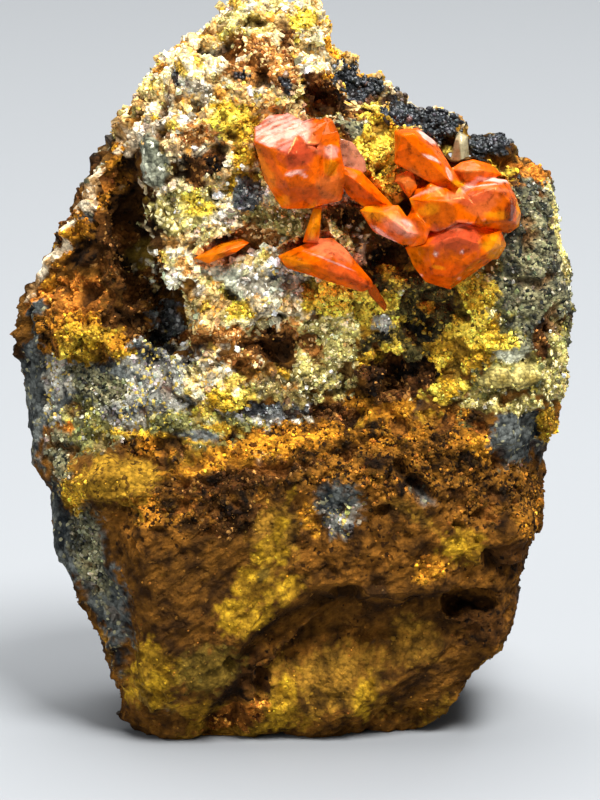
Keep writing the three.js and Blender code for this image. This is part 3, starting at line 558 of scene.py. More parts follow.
# Dents of the skyline: their depth, their middle to the right and reach, and the same upwards.
SKYLINE_DENTS = ((0.5, -5.4, 1.4, 33.6, 1.1), (0.65, 3, 2, 31.2, 1.8), (0.5, 2.2, 1.1, 34.2, 1.4))
SLANT = math.radians(36)  # how steeply the scales of the wall lie, up to the right
SCALE_SIZE = (0.8, 0.6, 0.3)  # mm, along, through and across a scale
VUG_DEPTH = 1.5  # in heights of the lumps about it
LEDGE_LIP = 0.4  # mm, how far the lip stands out
UNDERCUT = 0.35  # mm, how far the wall goes in below it
CRACK_DEPTH = 0.9  # mm
CRACK_LIP = 0.2  # mm
SMOOTHINGS = 12  # how often the torn parts of the skin are smoothed

clearance = np.array([crystal_tree.find_nearest(Vector(p))[3] for p in places])
freedom = ease(clearance, 0.1, 1.2)
slanting = np.stack([
    right * math.cos(SLANT) + places[:, 2] * math.sin(SLANT),
    places[:, 1],
    places[:, 2] * math.cos(SLANT) - right * math.sin(SLANT),
], 1) / SCALE_SIZE
rise = lump_height * ((big_rise - 0.62) + 0.5 * (mid_rise - 0.62) + 0.8 * swell(places, 2.2, 23))
on_flank = ease(-right - 0.25 * (up - 17), 4.5, 6) * ease(up, 16.5, 18)  # blocky, up on the left
rise += 0.5 * on_flank * (block_rise - 0.6) + 0.35 * on_flank * swell(slanting * (0.5, 0.5, 0.35), 1, 30)
rise += scale_height * (1.3 * swell(slanting, 1, 26) + 0.8 * swell(slanting, 0.45, 27))
rise += 0.3 * on_flank * swell(slanting, 0.9, 33)
rise += grit_height * 1.6 * swell(places, 0.42, 24)
vug = ease(swell(places, 1.1, 25) + 0.25 * swell(places, 0.5, 28), 0.2, 0.4)
rise -= VUG_DEPTH * lump_height * vug
for x, z, wide, tall, height in KNOBS_AND_HOLES:
    reach = reach_from(right, up, x, z, wide, tall) + 0.5 * wander
    rise += height * on_front * ease(1.25 - reach, 0, 0.6)
relief = rise.copy()

past_ledge = np.interp(right, *zip(*LEDGE)) - up + 0.25 * wander
lip = LEDGE_LIP * np.exp(-((past_ledge + 0.5) / 0.7) ** 2)
forward = on_front * (lip - UNDERCUT * np.exp(-((past_ledge - 1.1) / 1.1) ** 2))
past_crack = np.interp(right, *zip(*CRACK)) - up + 0.3 * wander
facing = ease(-ways[:, 1], 0.1, 0.6) * (1 - ease(right, 7.5, 9))
forward -= facing * CRACK_DEPTH * ease(past_crack, -0.1, 0.5) * (1 - ease(past_crack, 0.9, 5))
forward += facing * CRACK_LIP * np.exp(-((past_crack + 0.45) / 0.3) ** 2)
rise -= 0.17 * on_flank
for height, middle, spread, side, starts, full in FLANK_SWELLS:
    rise += height * np.exp(-((up - middle) / spread) ** 2) * ease(side * right, starts, full)
for depth, x, wide, z, tall in SKYLINE_DENTS:
    rise -= depth * np.exp(-((right - x) / wide) ** 2 - ((up - z) / tall) ** 2)
rise -= 0.35 * np.exp(-((right - 6.5) / 2.5) ** 2) * ease(up, 28.3, 29.3)  # a step behind the crystals
rise *= 1 - 0.5 * ease(ways[:, 1], 0.2, 0.6)  # the back is smoother
rise = np.where(rise > 0, rise * (0.1 + 0.9 * freedom), rise) - 0.25 * (1 - freedom)  # clear of the crystals
moves = rise[:, None] * ways
moves[:, 1] -= forward * freedom

# Where the skin is torn too wide, it takes after its surroundings.
one, other = read_off(rock_mesh.edges, "vertices", 2, np.int32).T
neighbours = np.bincount(one, minlength=len(places)) + np.bincount(other, minlength=len(places))
spacing = np.linalg.norm(places[one] - places[other], axis=1)
for _ in range(SMOOTHINGS):
    moved = places + moves
    stretch = np.linalg.norm(moved[one] - moved[other], axis=1) / (spacing + 0.02)
    torn = np.zeros(len(places))
    np.maximum.at(torn, one, stretch)
    np.maximum.at(torn, other, stretch)
    around = np.zeros_like(moves)
    for k in range(3):
        around[:, k] = np.bincount(one, moves[other, k], len(places))
        around[:, k] += np.bincount(other, moves[one, k], len(places))
    share = 0.8 * ease(torn, 1.8, 2.8)[:, None]
    moves = moves * (1 - share) + around / neighbours[:, None] * share
places += moves
places[:, 2] = np.maximum(places[:, 2], 0)
rock_mesh.vertices.foreach_set("co", places.astype(np.float32).ravel())
rock_mesh.update()

# Iron stain gathers in the crevices and holes. Below that is painted shade: the most sunken places and a band
# along the crack are darkened towards near-black, as their shadow.
RUST, DARK_RUST, PAINTED_SHADE = (140, 84, 32), (56, 37, 17), (26, 16, 9)  # sRGB
crevice = (1 - big_rise) * 0.6 + (1 - mid_rise) * 0.45 + vug + 0.4 * on_flank * (1 - block_rise)
crevice += ease(-relief - 0.5 * forward, 0.25, 0.9)
sunk = (ease(crevice, 0.6, 1.05) * ease(lump_height, 0.08, 0.3))[:, None]
rusty = np.clip(0.5 + 1.5 * swell(places, 1.8, 29), 0, 1)[:, None]
stained = linear(RUST) * rusty + linear(DARK_RUST) * (1 - rusty)
tint = tint * (1 - 0.75 * sunk) + stained * 0.75 * sunk
# painted shade: a near-black laid along the crack and in the most sunken places, standing in for their shadow
painted_crack_shadow = facing * np.exp(-((past_crack - 0.25) / 0.35) ** 2)
painted_shade_cover = np.maximum(ease(-relief, 0.3, 1.0), painted_crack_shadow)[:, None]
tint = tint * (1 - 0.7 * painted_shade_cover) + linear(PAINTED_SHADE) * 0.7 * painted_shade_cover


def carry(mesh, name, values):
    """Stores a value or a colour at each corner of a mesh, for its material."""
    if values.ndim == 1:
        mesh.attributes.new(name, "FLOAT", "POINT").data.foreach_set("value", values.astype(np.float32))
    else:
        full = np.concatenate([values, np.ones((len(values), 1))], 1)
        kept = mesh.attributes.new(name, "FLOAT_COLOR", "POINT")
        kept.data.foreach_set("color", full.astype(np.float32).ravel())


carry(rock_mesh, "tint", tint)
carry(rock_mesh, "fleck", fleck)
carry(rock_mesh, "fleck_share", flecks_share * (1 - sunk[:, 0]))
carry(rock_mesh, "roughness", roughness)
carry(rock_mesh, "streaks", np.clip(scale_height / 0.1, 0, 1))


def feed(node, sockets):
    """Links or sets the sockets of a node, which are given by name or number."""
    for name, value in sockets.items():
        if isinstance(value, bpy.types.NodeSocket):
            node.id_data.links.new(value, node.inputs[name])
        else:
            node.inputs[name].default_value = value


def tools_for(tree):
    """Two tools for a node tree: one puts in a shader node, fed and set up, the other does a sum."""
    def place(kind, sockets=None, **settings):
        node = tree.nodes.new("ShaderNode" + kind)
        for name, value in settings.items():
            setattr(node, name, value)
        feed(node, sockets or {})
        return node

    def maths(operation, *values):
        return place("Math", dict(enumerate(values)), operation=operation).outputs[0]

    return place, maths


def speckle_group():
    """A node group that breaks a mineral up into grains, some of them flecks, and gives their relief."""
    group = bpy.data.node_groups.new("mineral_speckle", "ShaderNodeTree")
    face = group.interface
    face.new_socket("Tint", in_out="INPUT", socket_type="NodeSocketColor")
    face.new_socket("Fleck", in_out="INPUT", socket_type="NodeSocketColor")
    for name, value in (("Fleck Share", 0.2), ("Grains per mm", 5.0), ("Contrast", 0.5), ("Streaks", 0.0)):
        face.new_socket(name, in_out="INPUT", socket_type="NodeSocketFloat").default_value = value
    face.new_socket("Color", in_out="OUTPUT", socket_type="NodeSocketColor")
    face.new_socket("Height", in_out="OUTPUT", socket_type="NodeSocketFloat")
    given = group.nodes.new("NodeGroupInput").outputs
    made = group.nodes.new("NodeGroupOutput")
    place, maths = tools_for(group)

    where = place("TexCoord").outputs["Object"]
    in_mm = place("VectorMath", {0: where, "Scale": 1 / MM}, operation="SCALE").outputs[0]
    cloud = place("TexNoise", {"Vector": in_mm, "Scale": 2.2, "Detail": 6, "Roughness": 0.7}).outputs["Fac"]
    cells = place("TexVoronoi", {"Vector": in_mm, "Scale": given["Grains per mm"]}).outputs
    numbers = place("SeparateColor", {0: cells["Color"]}).outputs
    drawn_out = {"Vector": in_mm, "Rotation": (0, -SLANT, 0), "Scale": (2, 1.4, 1)}
    scaly_place = place("Mapping", drawn_out, vector_type="TEXTURE").outputs[0]
    fine = {"Vector": scaly_place, "Scale": 5.5, "Detail": 5, "Roughness": 0.78}
    scales = place("TexNoise", fine).outputs["Fac"]

    # its colour: single flecks, and from grain to grain, or scale to scale, lighter and darker
    share = maths("MULTIPLY", given["Fleck Share"], maths("MULTIPLY", cloud, 2.0))
    flecked = {"Factor": maths("LESS_THAN", numbers[0], share), "A": given["Tint"], "B": given["Fleck"]}
    either = place("Mix", flecked, data_type="RGBA").outputs["Result"]
    grainy = maths("ADD", numbers[1], maths("MULTIPLY", cloud, 2.0))
    scaly = maths("ADD", maths("MULTIPLY", scales, 3.0), maths("MULTIPLY", cloud, 0.2))
    both = maths("ADD", grainy, maths("MULTIPLY", maths("SUBTRACT", scaly, grainy), given["Streaks"]))
    swing = maths("MULTIPLY", maths("SUBTRACT", both, 1.55), given["Contrast"])
    bright = maths("MAXIMUM", maths("ADD", swing, 1.0), 0.1)
    gap = maths("SMOOTH_MIN", maths("MULTIPLY", maths("SUBTRACT", 1.15, cells["Distance"]), 1.6), 1.0, 0.2)
    gap = maths("MAXIMUM", gap, given["Streaks"])
    shade = maths("MULTIPLY", bright, gap)
    lit = place("VectorMath", {0: either, "Scale": shade}, operation="SCALE").outputs[0]

    # its relief: a mound for each grain, or ridges along the scales
    mound = maths("MULTIPLY", maths("SUBTRACT", 1.0, cells["Distance"]), 0.6)
    ridge = maths("MULTIPLY", scales, 2.0)
    relief = maths("ADD", mound, maths("MULTIPLY", maths("SUBTRACT", ridge, mound), given["Streaks"]))
    feed(made, {"Color": lit, "Height": maths("ADD", relief, cloud)})
    return group


def new_material(name):
    """A material and its shader."""
    material = bpy.data.materials.new(name)
    material.use_nodes = True
    return material, material.node_tree.nodes["Principled BSDF"]


speckle = speckle_group()


def mineral_material(name, grains_per_mm, contrast, relief, roughness=None, gloss=0.5):
    """Rock or grains: their carried tint broken up by the speckle, with its relief as fine bumps."""
    material, shader = new_material(name)
    place, _ = tools_for(material.node_tree)
    speckled = {"Grains per mm": grains_per_mm, "Contrast": contrast}
    for socket, output in (("Tint", "Color"), ("Fleck", "Color"), ("Fleck Share", "Fac"), ("Streaks", "Fac")):
        carried = place("Attribute", attribute_name=socket.lower().replace(" ", "_"))
        speckled[socket] = carried.outputs[output]
    grains = place("Group", node_tree=speckle)
    feed(grains, speckled)
    bumps = {"Strength": 1, "Distance": relief * MM, "Height": grains.outputs["Height"]}
    if roughness is None:
        roughness = place("Attribute", attribute_name="roughness").outputs["Fac"]
    feed(shader, {
        "Base Color": grains.outputs["Color"],
        "Roughness": roughness,
        "Specular IOR Level": gloss,
        "Normal": place("Bump", bumps).outputs["Normal"],
    })
    return material


finished(rock_mesh, "rock", mineral_material("rock", 5.5, 0.9, 0.12, gloss=0.08), ["matrix_rock"])

# The grains. Sugary quartz, powdery ochre, galena cubes and black oxide knobs, all grown on or
# crumbled from the rock. Each kind is one mesh of many small copies, half sunk in the rock.

face_places = read_off(rock_mesh.polygons, "center", 3) / MM
face_ways = read_off(rock_mesh.polygons, "normal", 3)
face_areas = read_off(rock_mesh.polygons, "area") / MM**2
loop_corners = read_off(rock_mesh.loops, "vertex_index", kind=np.int32)
first_corner = loop_corners[read_off(rock_mesh.polygons, "loop_start", kind=np.int32)]
crevices = sunk[first_corner, 0] + 0.6 * (1 - mid_rise[first_corner])
STRAY = 0.06  # mm, how far a grain may lie from the middle of its face
CLEAR_OF_GLASS = 0.04  # mm, how near to a crystal a grain may lie, with a share of its own size


def corners_and_faces(work):
    """The places of a working mesh's corners, and the corners of each of its faces."""
    return np.array([v.co for v in work.verts]), np.array([[v.index for v in f.verts] for f in work.faces])


def shapes_of(make, variants, wobble, seed):
    """A few variants of one small shape, each with its corners moved a little, and their faces."""
    work = bmesh.new()
    make(work)
    corners, faces = corners_and_faces(work)
    work.free()
    moves = np.random.default_rng(seed).uniform(-wobble, wobble, (variants, *corners.shape))
    return corners + moves, faces


def strewn(name, shapes, minerals, per_mm2, sizes, material, seed, sink=0.15, squash=0.3, glint=0.0):
    """Strews copies of the shapes over the rock where it is of those minerals, fewer in its crevices."""
    corners, faces = shapes
    draw = np.random.default_rng(seed)
    chosen = np.isin(mineral[first_corner], [NAMES.index(m) for m in minerals])
    facing = 0.15 + 0.85 * (face_ways[:, 1] < 0.3) * (face_places[:, 1] < 2)
    chance = face_areas * chosen * facing * (face_places[:, 2] > 0.4) * np.clip(1.1 - crevices, 0.1, 1)
    count = int(min(chance.sum() * per_mm2, MOST_TRIANGLES // (len(faces) * (faces.shape[1] - 2))))
    picks = draw.choice(len(chance), count, p=chance / chance.sum())
    size = sizes[0] + (sizes[1] - sizes[0]) * draw.random(count) ** 2.5
    spots = face_places[picks] + draw.uniform(-STRAY, STRAY, (count, 3))
    spots -= (sink * size)[:, None] * face_ways[picks]
    near = [crystal_tree.find_nearest(Vector(s)) for s in spots]
    room = [(Vector(s) - place).dot(way) for s, (place, way, *_) in zip(spots, near)]
    keep = (np.array(room) >= CLEAR_OF_GLASS + 0.3 * size) & (spots[:, 2] > size * 0.6)
    spots, size, picks = spots[keep], size[keep], picks[keep]
    count = len(spots)
    turns = np.linalg.qr(draw.normal(size=(count, 3, 3)))[0]
    turns[:, :, 0] *= np.linalg.det(turns)[:, None]
    grown = corners[draw.integers(len(corners), size=count)]
    grown = grown * draw.uniform(1 - squash, 1 + squash, (count, 1, 3)) * size[:, None, None] * 0.5
    points = np.einsum("nij,nvj->nvi", turns, grown) + spots[:, None]
    joined = faces[None] + (np.arange(count) * corners.shape[1])[:, None, None]

    mesh = bpy.data.meshes.new(name)
    mesh.vertices.add(points.size // 3)
    mesh.vertices.foreach_set("co", points.astype(np.float32).ravel())
    mesh.loops.add(joined.size)
    mesh.loops.foreach_set("vertex_index", joined.astype(np.int32).ravel())
    mesh.polygons.add(joined.size // faces.shape[1])
    mesh.polygons.foreach_set("loop_start", np.arange(0, joined.size, faces.shape[1], dtype=np.int32))
    mesh.update(calc_edges=True)
    mesh.shade_flat()

    under = first_corner[picks]
    as_fleck = draw.random(count) < 0.5 * flecks_share[under]
    colour = np.where(as_fleck[:, None], fleck[under], tint[under])
    colour = colour * np.exp(draw.normal(0.1, 0.4, (count, 1)) + draw.normal(0, 0.08, (count, 3)))
    bright = draw.random(count) < glint
    colour[bright] = linear((236, 228, 206)) * draw.uniform(0.6, 1.1, (bright.sum(), 1))
    colour = np.repeat(np.clip(colour, 0, 1), corners.shape[1], axis=0)
    carry(mesh, "tint", colour)
    carry(mesh, "fleck", colour * 0.6)
    carry(mesh, "fleck_share", np.full(len(colour), 0.15))
    finished(mesh, name, material)


sugar = shapes_of(lambda work: bmesh.ops.create_cube(work, size=1.6), 12, 0.35, 31)
crumb = shapes_of(lambda work: bmesh.ops.create_icosphere(work, subdivisions=1, radius=1), 12, 0.22, 32)
cube = shapes_of(lambda work: bmesh.ops.create_cube(work, size=1.5), 8, 0.15, 33)
knob = shapes_of(lambda work: bmesh.ops.create_icosphere(work, subdivisions=2, radius=1), 6, 0.04, 34)

strewn("quartz_druse", sugar, ["cream", "sand", "quartz"], 13, (0.1, 0.4),
       mineral_material("druse", 9, 0.6, 0.02, roughness=0.45, gloss=0.4), 41, glint=0.05)
strewn("yellow_powder", crumb, ["lemon", "gold"], 70, (0.08, 0.24),
       mineral_material("powder", 12, 0.6, 0.02, roughness=0.85, gloss=0.2), 42)
strewn("ochre_crumbs", crumb, ["ochre", "rust", "crumbs", "gravel", "soot", "hollow_painted_shade", "loam", "russet"], 36,
       (0.1, 0.26), mineral_material("ochre", 12, 0.6, 0.02, roughness=0.9, gloss=0.1), 43)
strewn("wall_crumbs", crumb, ["tan", "umber", "brown", "mustard", "fawn", "lobe", "moss"], 12, (0.06, 0.16),
       mineral_material("wall", 12, 0.6, 0.02, roughness=0.95, gloss=0.1), 46, sink=0.3)
strewn("grey_grains", cube, ["galena", "coal", "ash", "olive", "lichen"], 40, (0.08, 0.26),
       mineral_material("grey", 9, 0.6, 0.01, roughness=0.4, gloss=0.5), 44, glint=0.02)
strewn("oxide_knobs", knob, ["oxide"], 40, (0.14, 0.38),
       mineral_material("knobs", 9, 0.5, 0.01, roughness=0.36, gloss=0.4), 45)

# The wulfenite and the tooth of cerussite. Blocky and tabular crystals of lead molybdate, glassy and
# orange-red, and one pale one of lead carbonate. All grew on the rock, and their roots are in it.

LONGEST_SIDE = 0.15  # mm, of the triangles that the facets are cut up into
ORANGE_GLEAM = (1, 0.5, 0.15, 1)  # the tint of what the wulfenite's facets mirror


def glassy(name, ior, transmission, absorbs, density, gleam=(1, 1, 1, 1)):
    """Clear crystal: carried tints broken up by planes in the glass, light lost with depth, and rough spots
    where it is frosted and where glints are painted.
    """
    material, shader = new_material(name)
    place, maths = tools_for(material.node_tree)
    where = place("TexCoord").outputs["Object"]

    # its colour: planes, clouds and dark motes in the glass
    planes = place("TexVoronoi", {"Vector": where, "Scale": 1.5 / MM}).outputs
    numbers = place("SeparateColor", {0: planes["Color"]}).outputs
    misty = {"Vector": where, "Scale": 2.4 / MM, "Detail": 5, "Roughness": 0.72}
    cloud = place("TexNoise", misty).outputs["Fac"]
    motes = place("MapRange", {"Value": cloud, "From Min": 0.34, "From Max": 0.44, "To Min": 0.65})
    swing = maths("ADD", maths("MULTIPLY", numbers[0], 0.5), maths("MULTIPLY", cloud, 1.9))
    bright = maths("MULTIPLY", maths("ADD", swing, -0.16), motes.outputs["Result"])
    tinted = place("Attribute", attribute_name="tint").outputs["Color"]
    lit = place("VectorMath", {0: tinted, "Scale": bright}, operation="SCALE").outputs[0]

    # its surface: rough at its frosted spots and at its painted glints, with fine pits
    frost_and_painted_glint = place("Attribute", attribute_name="frost_and_painted_glint").outputs["Fac"]
    rough = place("MapRange", {"Value": frost_and_painted_glint, "To Min": 0.07, "To Max": 0.4}).outputs["Result"]
    pits = place("TexNoise", {"Vector": where, "Scale": 3 / MM, "Detail": 4}).outputs["Fac"]
    uneven = maths("ADD", pits, maths("MULTIPLY", planes["Distance"], 0.5))
    bump = place("Bump", {"Strength": 1, "Distance": 0.035 * MM, "Height": uneven})
    feed(shader, {
        "Base Color": lit,
        "Roughness": rough,
        "IOR": ior,
        "Transmission Weight": transmission,
        "Specular IOR Level": 0.05,
        "Specular Tint": gleam,
        "Normal": bump.outputs["Normal"],
    })
    depth = place("VolumeAbsorption", {"Color": (*linear(absorbs), 1), "Density": density})
    feed(material.node_tree.nodes["Material Output"], {"Volume": depth.outputs["Volume"]})
    return material


wulfenite = glassy("wulfenite", 1.5, 0.52, (255, 160, 50), 150, ORANGE_GLEAM)
cerussite = glassy("cerussite", 1.6, 0.55, (240, 226, 190), 100)

# The colours of the glass, of what is in it, and of the glints and pink reflections painted on it (sRGB, 0 to
# 255).
GLASS = {"orange": (246, 104, 2), "red": (240, 82, 4), "amber": (255, 156, 14), "painted_pink_reflection": (252, 134, 86),
         "garnet": (192, 74, 46), "umber": (160, 68, 12), "maroon": (104, 28, 8), "tawny": (216, 122, 54),
         "frost_and_painted_glint": (252, 208, 194), "bone": (214, 200, 156), "blush": (220, 144, 108)}

# Where they lie: the middle of each spot (to the right, and up as looked at a little from above),
# half its width and height, its tilt, and its strength. The frosted spots are painted highlights and glints,
# and rough as well; the pink ones are painted reflections.
GLASS_PATCHES = (
    # the big block
    ("amber", -1.7, 26.3, 0.4, 1.3, 20, 0.5), ("garnet", 0, 27.5, 0.9, 0.8, 0, 0.9),
    ("maroon", 0.1, 27.4, 0.7, 0.6, 0, 0.3), ("painted_pink_reflection", 0.3, 27.9, 0.5, 0.06, -50, 0.6),
    ("maroon", -0.4, 27.2, 0.35, 0.12, 20, 0.5), ("painted_pink_reflection", 0.6, 27.9, 0.25, 0.7, 40, 0.5),
    ("frost_and_painted_glint", -0.3, 26.45, 0.4, 0.08, 14, 0.8), ("frost_and_painted_glint", 0.1, 26.4, 0.3, 0.06, -30, 0.6),
    ("umber", -0.1, 25.6, 1.1, 0.5, 0, 0.75), ("amber", -0.9, 25.2, 0.4, 0.25, -20, 0.6),
    ("umber", 1, 28.5, 0.9, 0.7, 0, 0.75), ("tawny", 1.5, 25.9, 0.6, 0.9, 0, 0.6),
    ("frost_and_painted_glint", 1.5, 27.5, 0.3, 0.35, 0, 0.55), ("amber", 1.45, 26.7, 0.35, 0.4, 0, 0.9),
    # the blade and the leaf between the blocks
    ("umber", 2.4, 26.2, 0.5, 0.5, 0, 0.5), ("red", 3.2, 25.5, 1, 0.5, -35, 0.5),
    ("amber", 3.5, 24.6, 0.8, 0.35, -15, 0.8), ("umber", 3.8, 24.7, 0.4, 0.2, -15, 0.4),
    ("painted_pink_reflection", 4.9, 23.8, 0.9, 0.5, -20, 0.9), ("frost_and_painted_glint", 4.9, 23.8, 0.6, 0.35, -20, 0.3),
    ("frost_and_painted_glint", 4.2, 23.4, 0.9, 0.1, -38, 0.7), ("frost_and_painted_glint", 5.1, 24.1, 0.3, 0.1, -30, 0.6),
    # the upper blade, the brown block under it and the lobe behind
    ("red", 5.4, 27.8, 1, 0.9, -30, 0.1), ("frost_and_painted_glint", 6.1, 28.2, 0.45, 0.14, -38, 0.9),
    ("frost_and_painted_glint", 6.25, 27.2, 0.4, 0.08, -25, 0.8), ("frost_and_painted_glint", 7.1, 26.5, 0.1, 0.3, 20, 0.8),
    ("amber", 7.6, 25.8, 0.4, 0.3, -45, 0.9), ("umber", 5.2, 26.2, 0.6, 0.5, 0, 0.5),
    ("tawny", 5.1, 26.2, 0.6, 0.5, 0, 0.6), ("tawny", 8, 26.6, 0.8, 0.4, 0, 0.5),
    # the right block
    ("painted_pink_reflection", 8.6, 25, 0.8, 0.5, 20, 0.4), ("umber", 9, 24.9, 1.3, 0.8, 0, 0.45),
    ("frost_and_painted_glint", 9.3, 26.2, 0.8, 0.12, -5, 0.8), ("garnet", 8.2, 25.3, 0.9, 0.35, 10, 0.6),
    ("frost_and_painted_glint", 8.8, 25.95, 0.8, 0.05, 5, 0.7), ("painted_pink_reflection", 9.3, 25.75, 0.8, 0.12, -8, 0.6),
    ("amber", 9.4, 24.5, 0.5, 0.2, 0, 0.6), ("frost_and_painted_glint", 8.1, 25.9, 0.4, 0.15, 35, 0.6),
    ("maroon", 10, 24.75, 0.3, 0.5, 0, 0.85), ("maroon", 9.7, 25.5, 0.25, 0.15, 0, 0.6),
    ("amber", 10.45, 24.6, 0.12, 0.9, 0, 0.8),
    # the middle block
    ("umber", 6.9, 24.5, 0.9, 0.5, 0, 0.4), ("amber", 6.1, 24.7, 0.5, 0.25, 10, 0.6),
    ("frost_and_painted_glint", 6.3, 25.7, 0.7, 0.08, 18, 0.4), ("painted_pink_reflection", 7.3, 25.3, 0.4, 0.3, 0, 0.5),
    ("amber", 5, 24.9, 0.3, 0.4, 0, 0.7),
    # the lower block
    ("garnet", 7.4, 23.4, 1.2, 0.75, 0, 0.85), ("painted_pink_reflection", 7.6, 24, 0.6, 0.25, 10, 0.6),
    ("frost_and_painted_glint", 7.6, 24, 0.9, 0.06, 12, 0.6), ("frost_and_painted_glint", 7.7, 22.75, 0.08, 0.08, 0, 0.9),
    ("frost_and_painted_glint", 6.45, 22.65, 0.08, 0.08, 0, 0.9), ("frost_and_painted_glint", 5.8, 21.65, 0.1, 0.08, 0, 0.9),
    ("frost_and_painted_glint", 7.6, 21.5, 0.1, 0.08, 0, 0.9), ("umber", 6, 22.9, 0.3, 0.5, 20, 0.4),
    ("amber", 9.2, 23, 0.5, 0.6, 20, 0.95), ("red", 6.8, 21.7, 1.2, 0.5, 0, 0.6),
    ("amber", 6.6, 22, 0.3, 0.08, -10, 0.7), ("amber", 5.5, 22.6, 0.4, 0.5, 0, 0.3),
    ("umber", 8.3, 22.3, 0.7, 0.3, 30, 0.5),
    # the wedge, the thin blade and the sliver
    ("painted_pink_reflection", 1.4, 22.9, 1.3, 0.5, -20, 0.75), ("amber", -0.3, 22.3, 0.9, 0.3, -20, 0.6),
    ("umber", 0.2, 22.4, 0.4, 0.15, -20, 0.4), ("garnet", 2.3, 21.6, 1.4, 0.35, -28, 0.5),
    ("frost_and_painted_glint", 1.4, 22.35, 1.1, 0.04, -22, 0.5), ("maroon", 3.4, 21.2, 0.3, 0.25, 0, 0.5),
    ("amber", 0.6, 24.2, 0.4, 0.8, 0, 0.7), ("amber", -4.3, 22.7, 0.9, 0.4, 20, 0.5),
    ("amber", -3.2, 23.3, 0.8, 0.12, 20, 0.7),
)

# Small crystals that fill the angles between the big ones of the cluster: their corners in mm.
SMALL_CRYSTALS = (
    ((-0.1, -7.7, 31.15), (0.6, -8.4, 30.8), (1.3, -7.5, 31.2), (0.9, -8.7, 30.3), (0.3, -8.9, 30.3),
     (0.6, -6.8, 31.3), (0.7, -7.2, 30)),
    ((0.8, -8.8, 30.1), (0.9, -8.7, 28.3), (0.7, -8.2, 27.2), (1.9, -8.1, 30.1), (2.2, -7.8, 28.6),
     (2, -7.6, 27.4), (1, -8.2, 30.7), (1.8, -7.6, 30.8), (1.2, -6.4, 29)),
    ((4.9, -8.3, 26.4), (5.6, -8.9, 26.9), (6.2, -9.15, 26.3), (6, -9.1, 25.6), (5.2, -8.6, 25.3),
     (5.4, -8, 27.2), (5.6, -6.8, 26)),
    ((7.2, -8.9, 27.7), (7.9, -8.8, 27.7), (8.6, -8.8, 27.2), (8.3, -8.95, 26.5), (7.4, -9.1, 26.6),
     (7.6, -8.3, 28.2), (7.8, -7, 27)),
    ((5.3, -8.3, 27.6), (6.2, -8.4, 28.4), (6.9, -8.5, 28.1), (7, -8.9, 27.7), (5.9, -9, 27.6),
     (6.2, -7, 27.8)),
    ((8.6, -8.95, 25.9), (9.6, -8.3, 26.1), (9.9, -7.9, 25.3), (9.5, -7.9, 24.6), (8.5, -8.9, 24.8),
     (9.1, -9, 25.3), (9.2, -7, 25.3)),
)

# The striated roof of the big block, in mm: where it is, and how its steps of growth climb. Its left part
# carries painted glare.
ROOF_MIDDLE = (-1, -8, 30.9)
ROOF_REACH = 2.2
STEPS_CLIMB = (-0.45, 0.19, 0.87)
STEP_SPACING = 0.26
STEP_HEIGHT = 0.06


def hull_of(corners):
    """A block of crystal between those corners, as a working mesh."""
    work = bmesh.new()
    for corner in corners:
        work.verts.new(corner)
    bmesh.ops.convex_hull(work, input=work.verts)
    bmesh.ops.recalc_face_normals(work, faces=work.faces)
    return work


def grown_on(mesh, corners):
    """The mesh and the block of crystal between those corners, as one solid."""
    block_work = hull_of(corners)
    block_mesh = mesh_of(block_work, "block")
    block_work.free()
    block = bpy.data.objects.new("block", block_mesh)
    scene.collection.objects.link(block)
    made = modified(mesh, [("BOOLEAN", {"operation": "UNION", "solver": "EXACT", "object": block})])
    bpy.data.objects.remove(block)
    bpy.data.meshes.remove(block_mesh)
    return made


def cut_up(corners, facets, longest):
    """Triangles halved across each side longer than that, until none is, with no gaps between them."""
    for _ in range(8):
        sides = np.sort(facets[:, [0, 1, 1, 2, 2, 0]].reshape(-1, 2), axis=1)
        sides, which = np.unique(sides, axis=0, return_inverse=True)
        too_long = np.linalg.norm(corners[sides[:, 0]] - corners[sides[:, 1]], axis=1) > longest
        if not too_long.any():
            break
        middles = np.full(len(sides), -1)
        middles[too_long] = len(corners) + np.arange(too_long.sum())
        corners = np.concatenate([corners, corners[sides[too_long]].mean(axis=1)])
        middles = middles[which.reshape(-1, 3)]
        halved = middles >= 0
        count = halved.sum(axis=1)
        turn = np.where(count == 2, (np.argmin(halved, axis=1) + 1) % 3, np.argmax(halved, axis=1))
        order = (turn[:, None] + np.arange(3)) % 3
        a, b, c = np.take_along_axis(facets, order, 1).T
        ab, bc, ca = np.take_along_axis(middles, order, 1).T
        parts = {
            0: [(a, b, c)],
            1: [(a, ab, c), (ab, b, c)],
            2: [(ab, b, bc), (a, ab, bc), (a, bc, c)],
            3: [(a, ab, ca), (ab, b, bc), (ca, bc, c), (ab, bc, ca)],
        }
        facets = np.concatenate([np.stack(part, 1)[count == n] for n in parts for part in parts[n]])
    return corners, facets


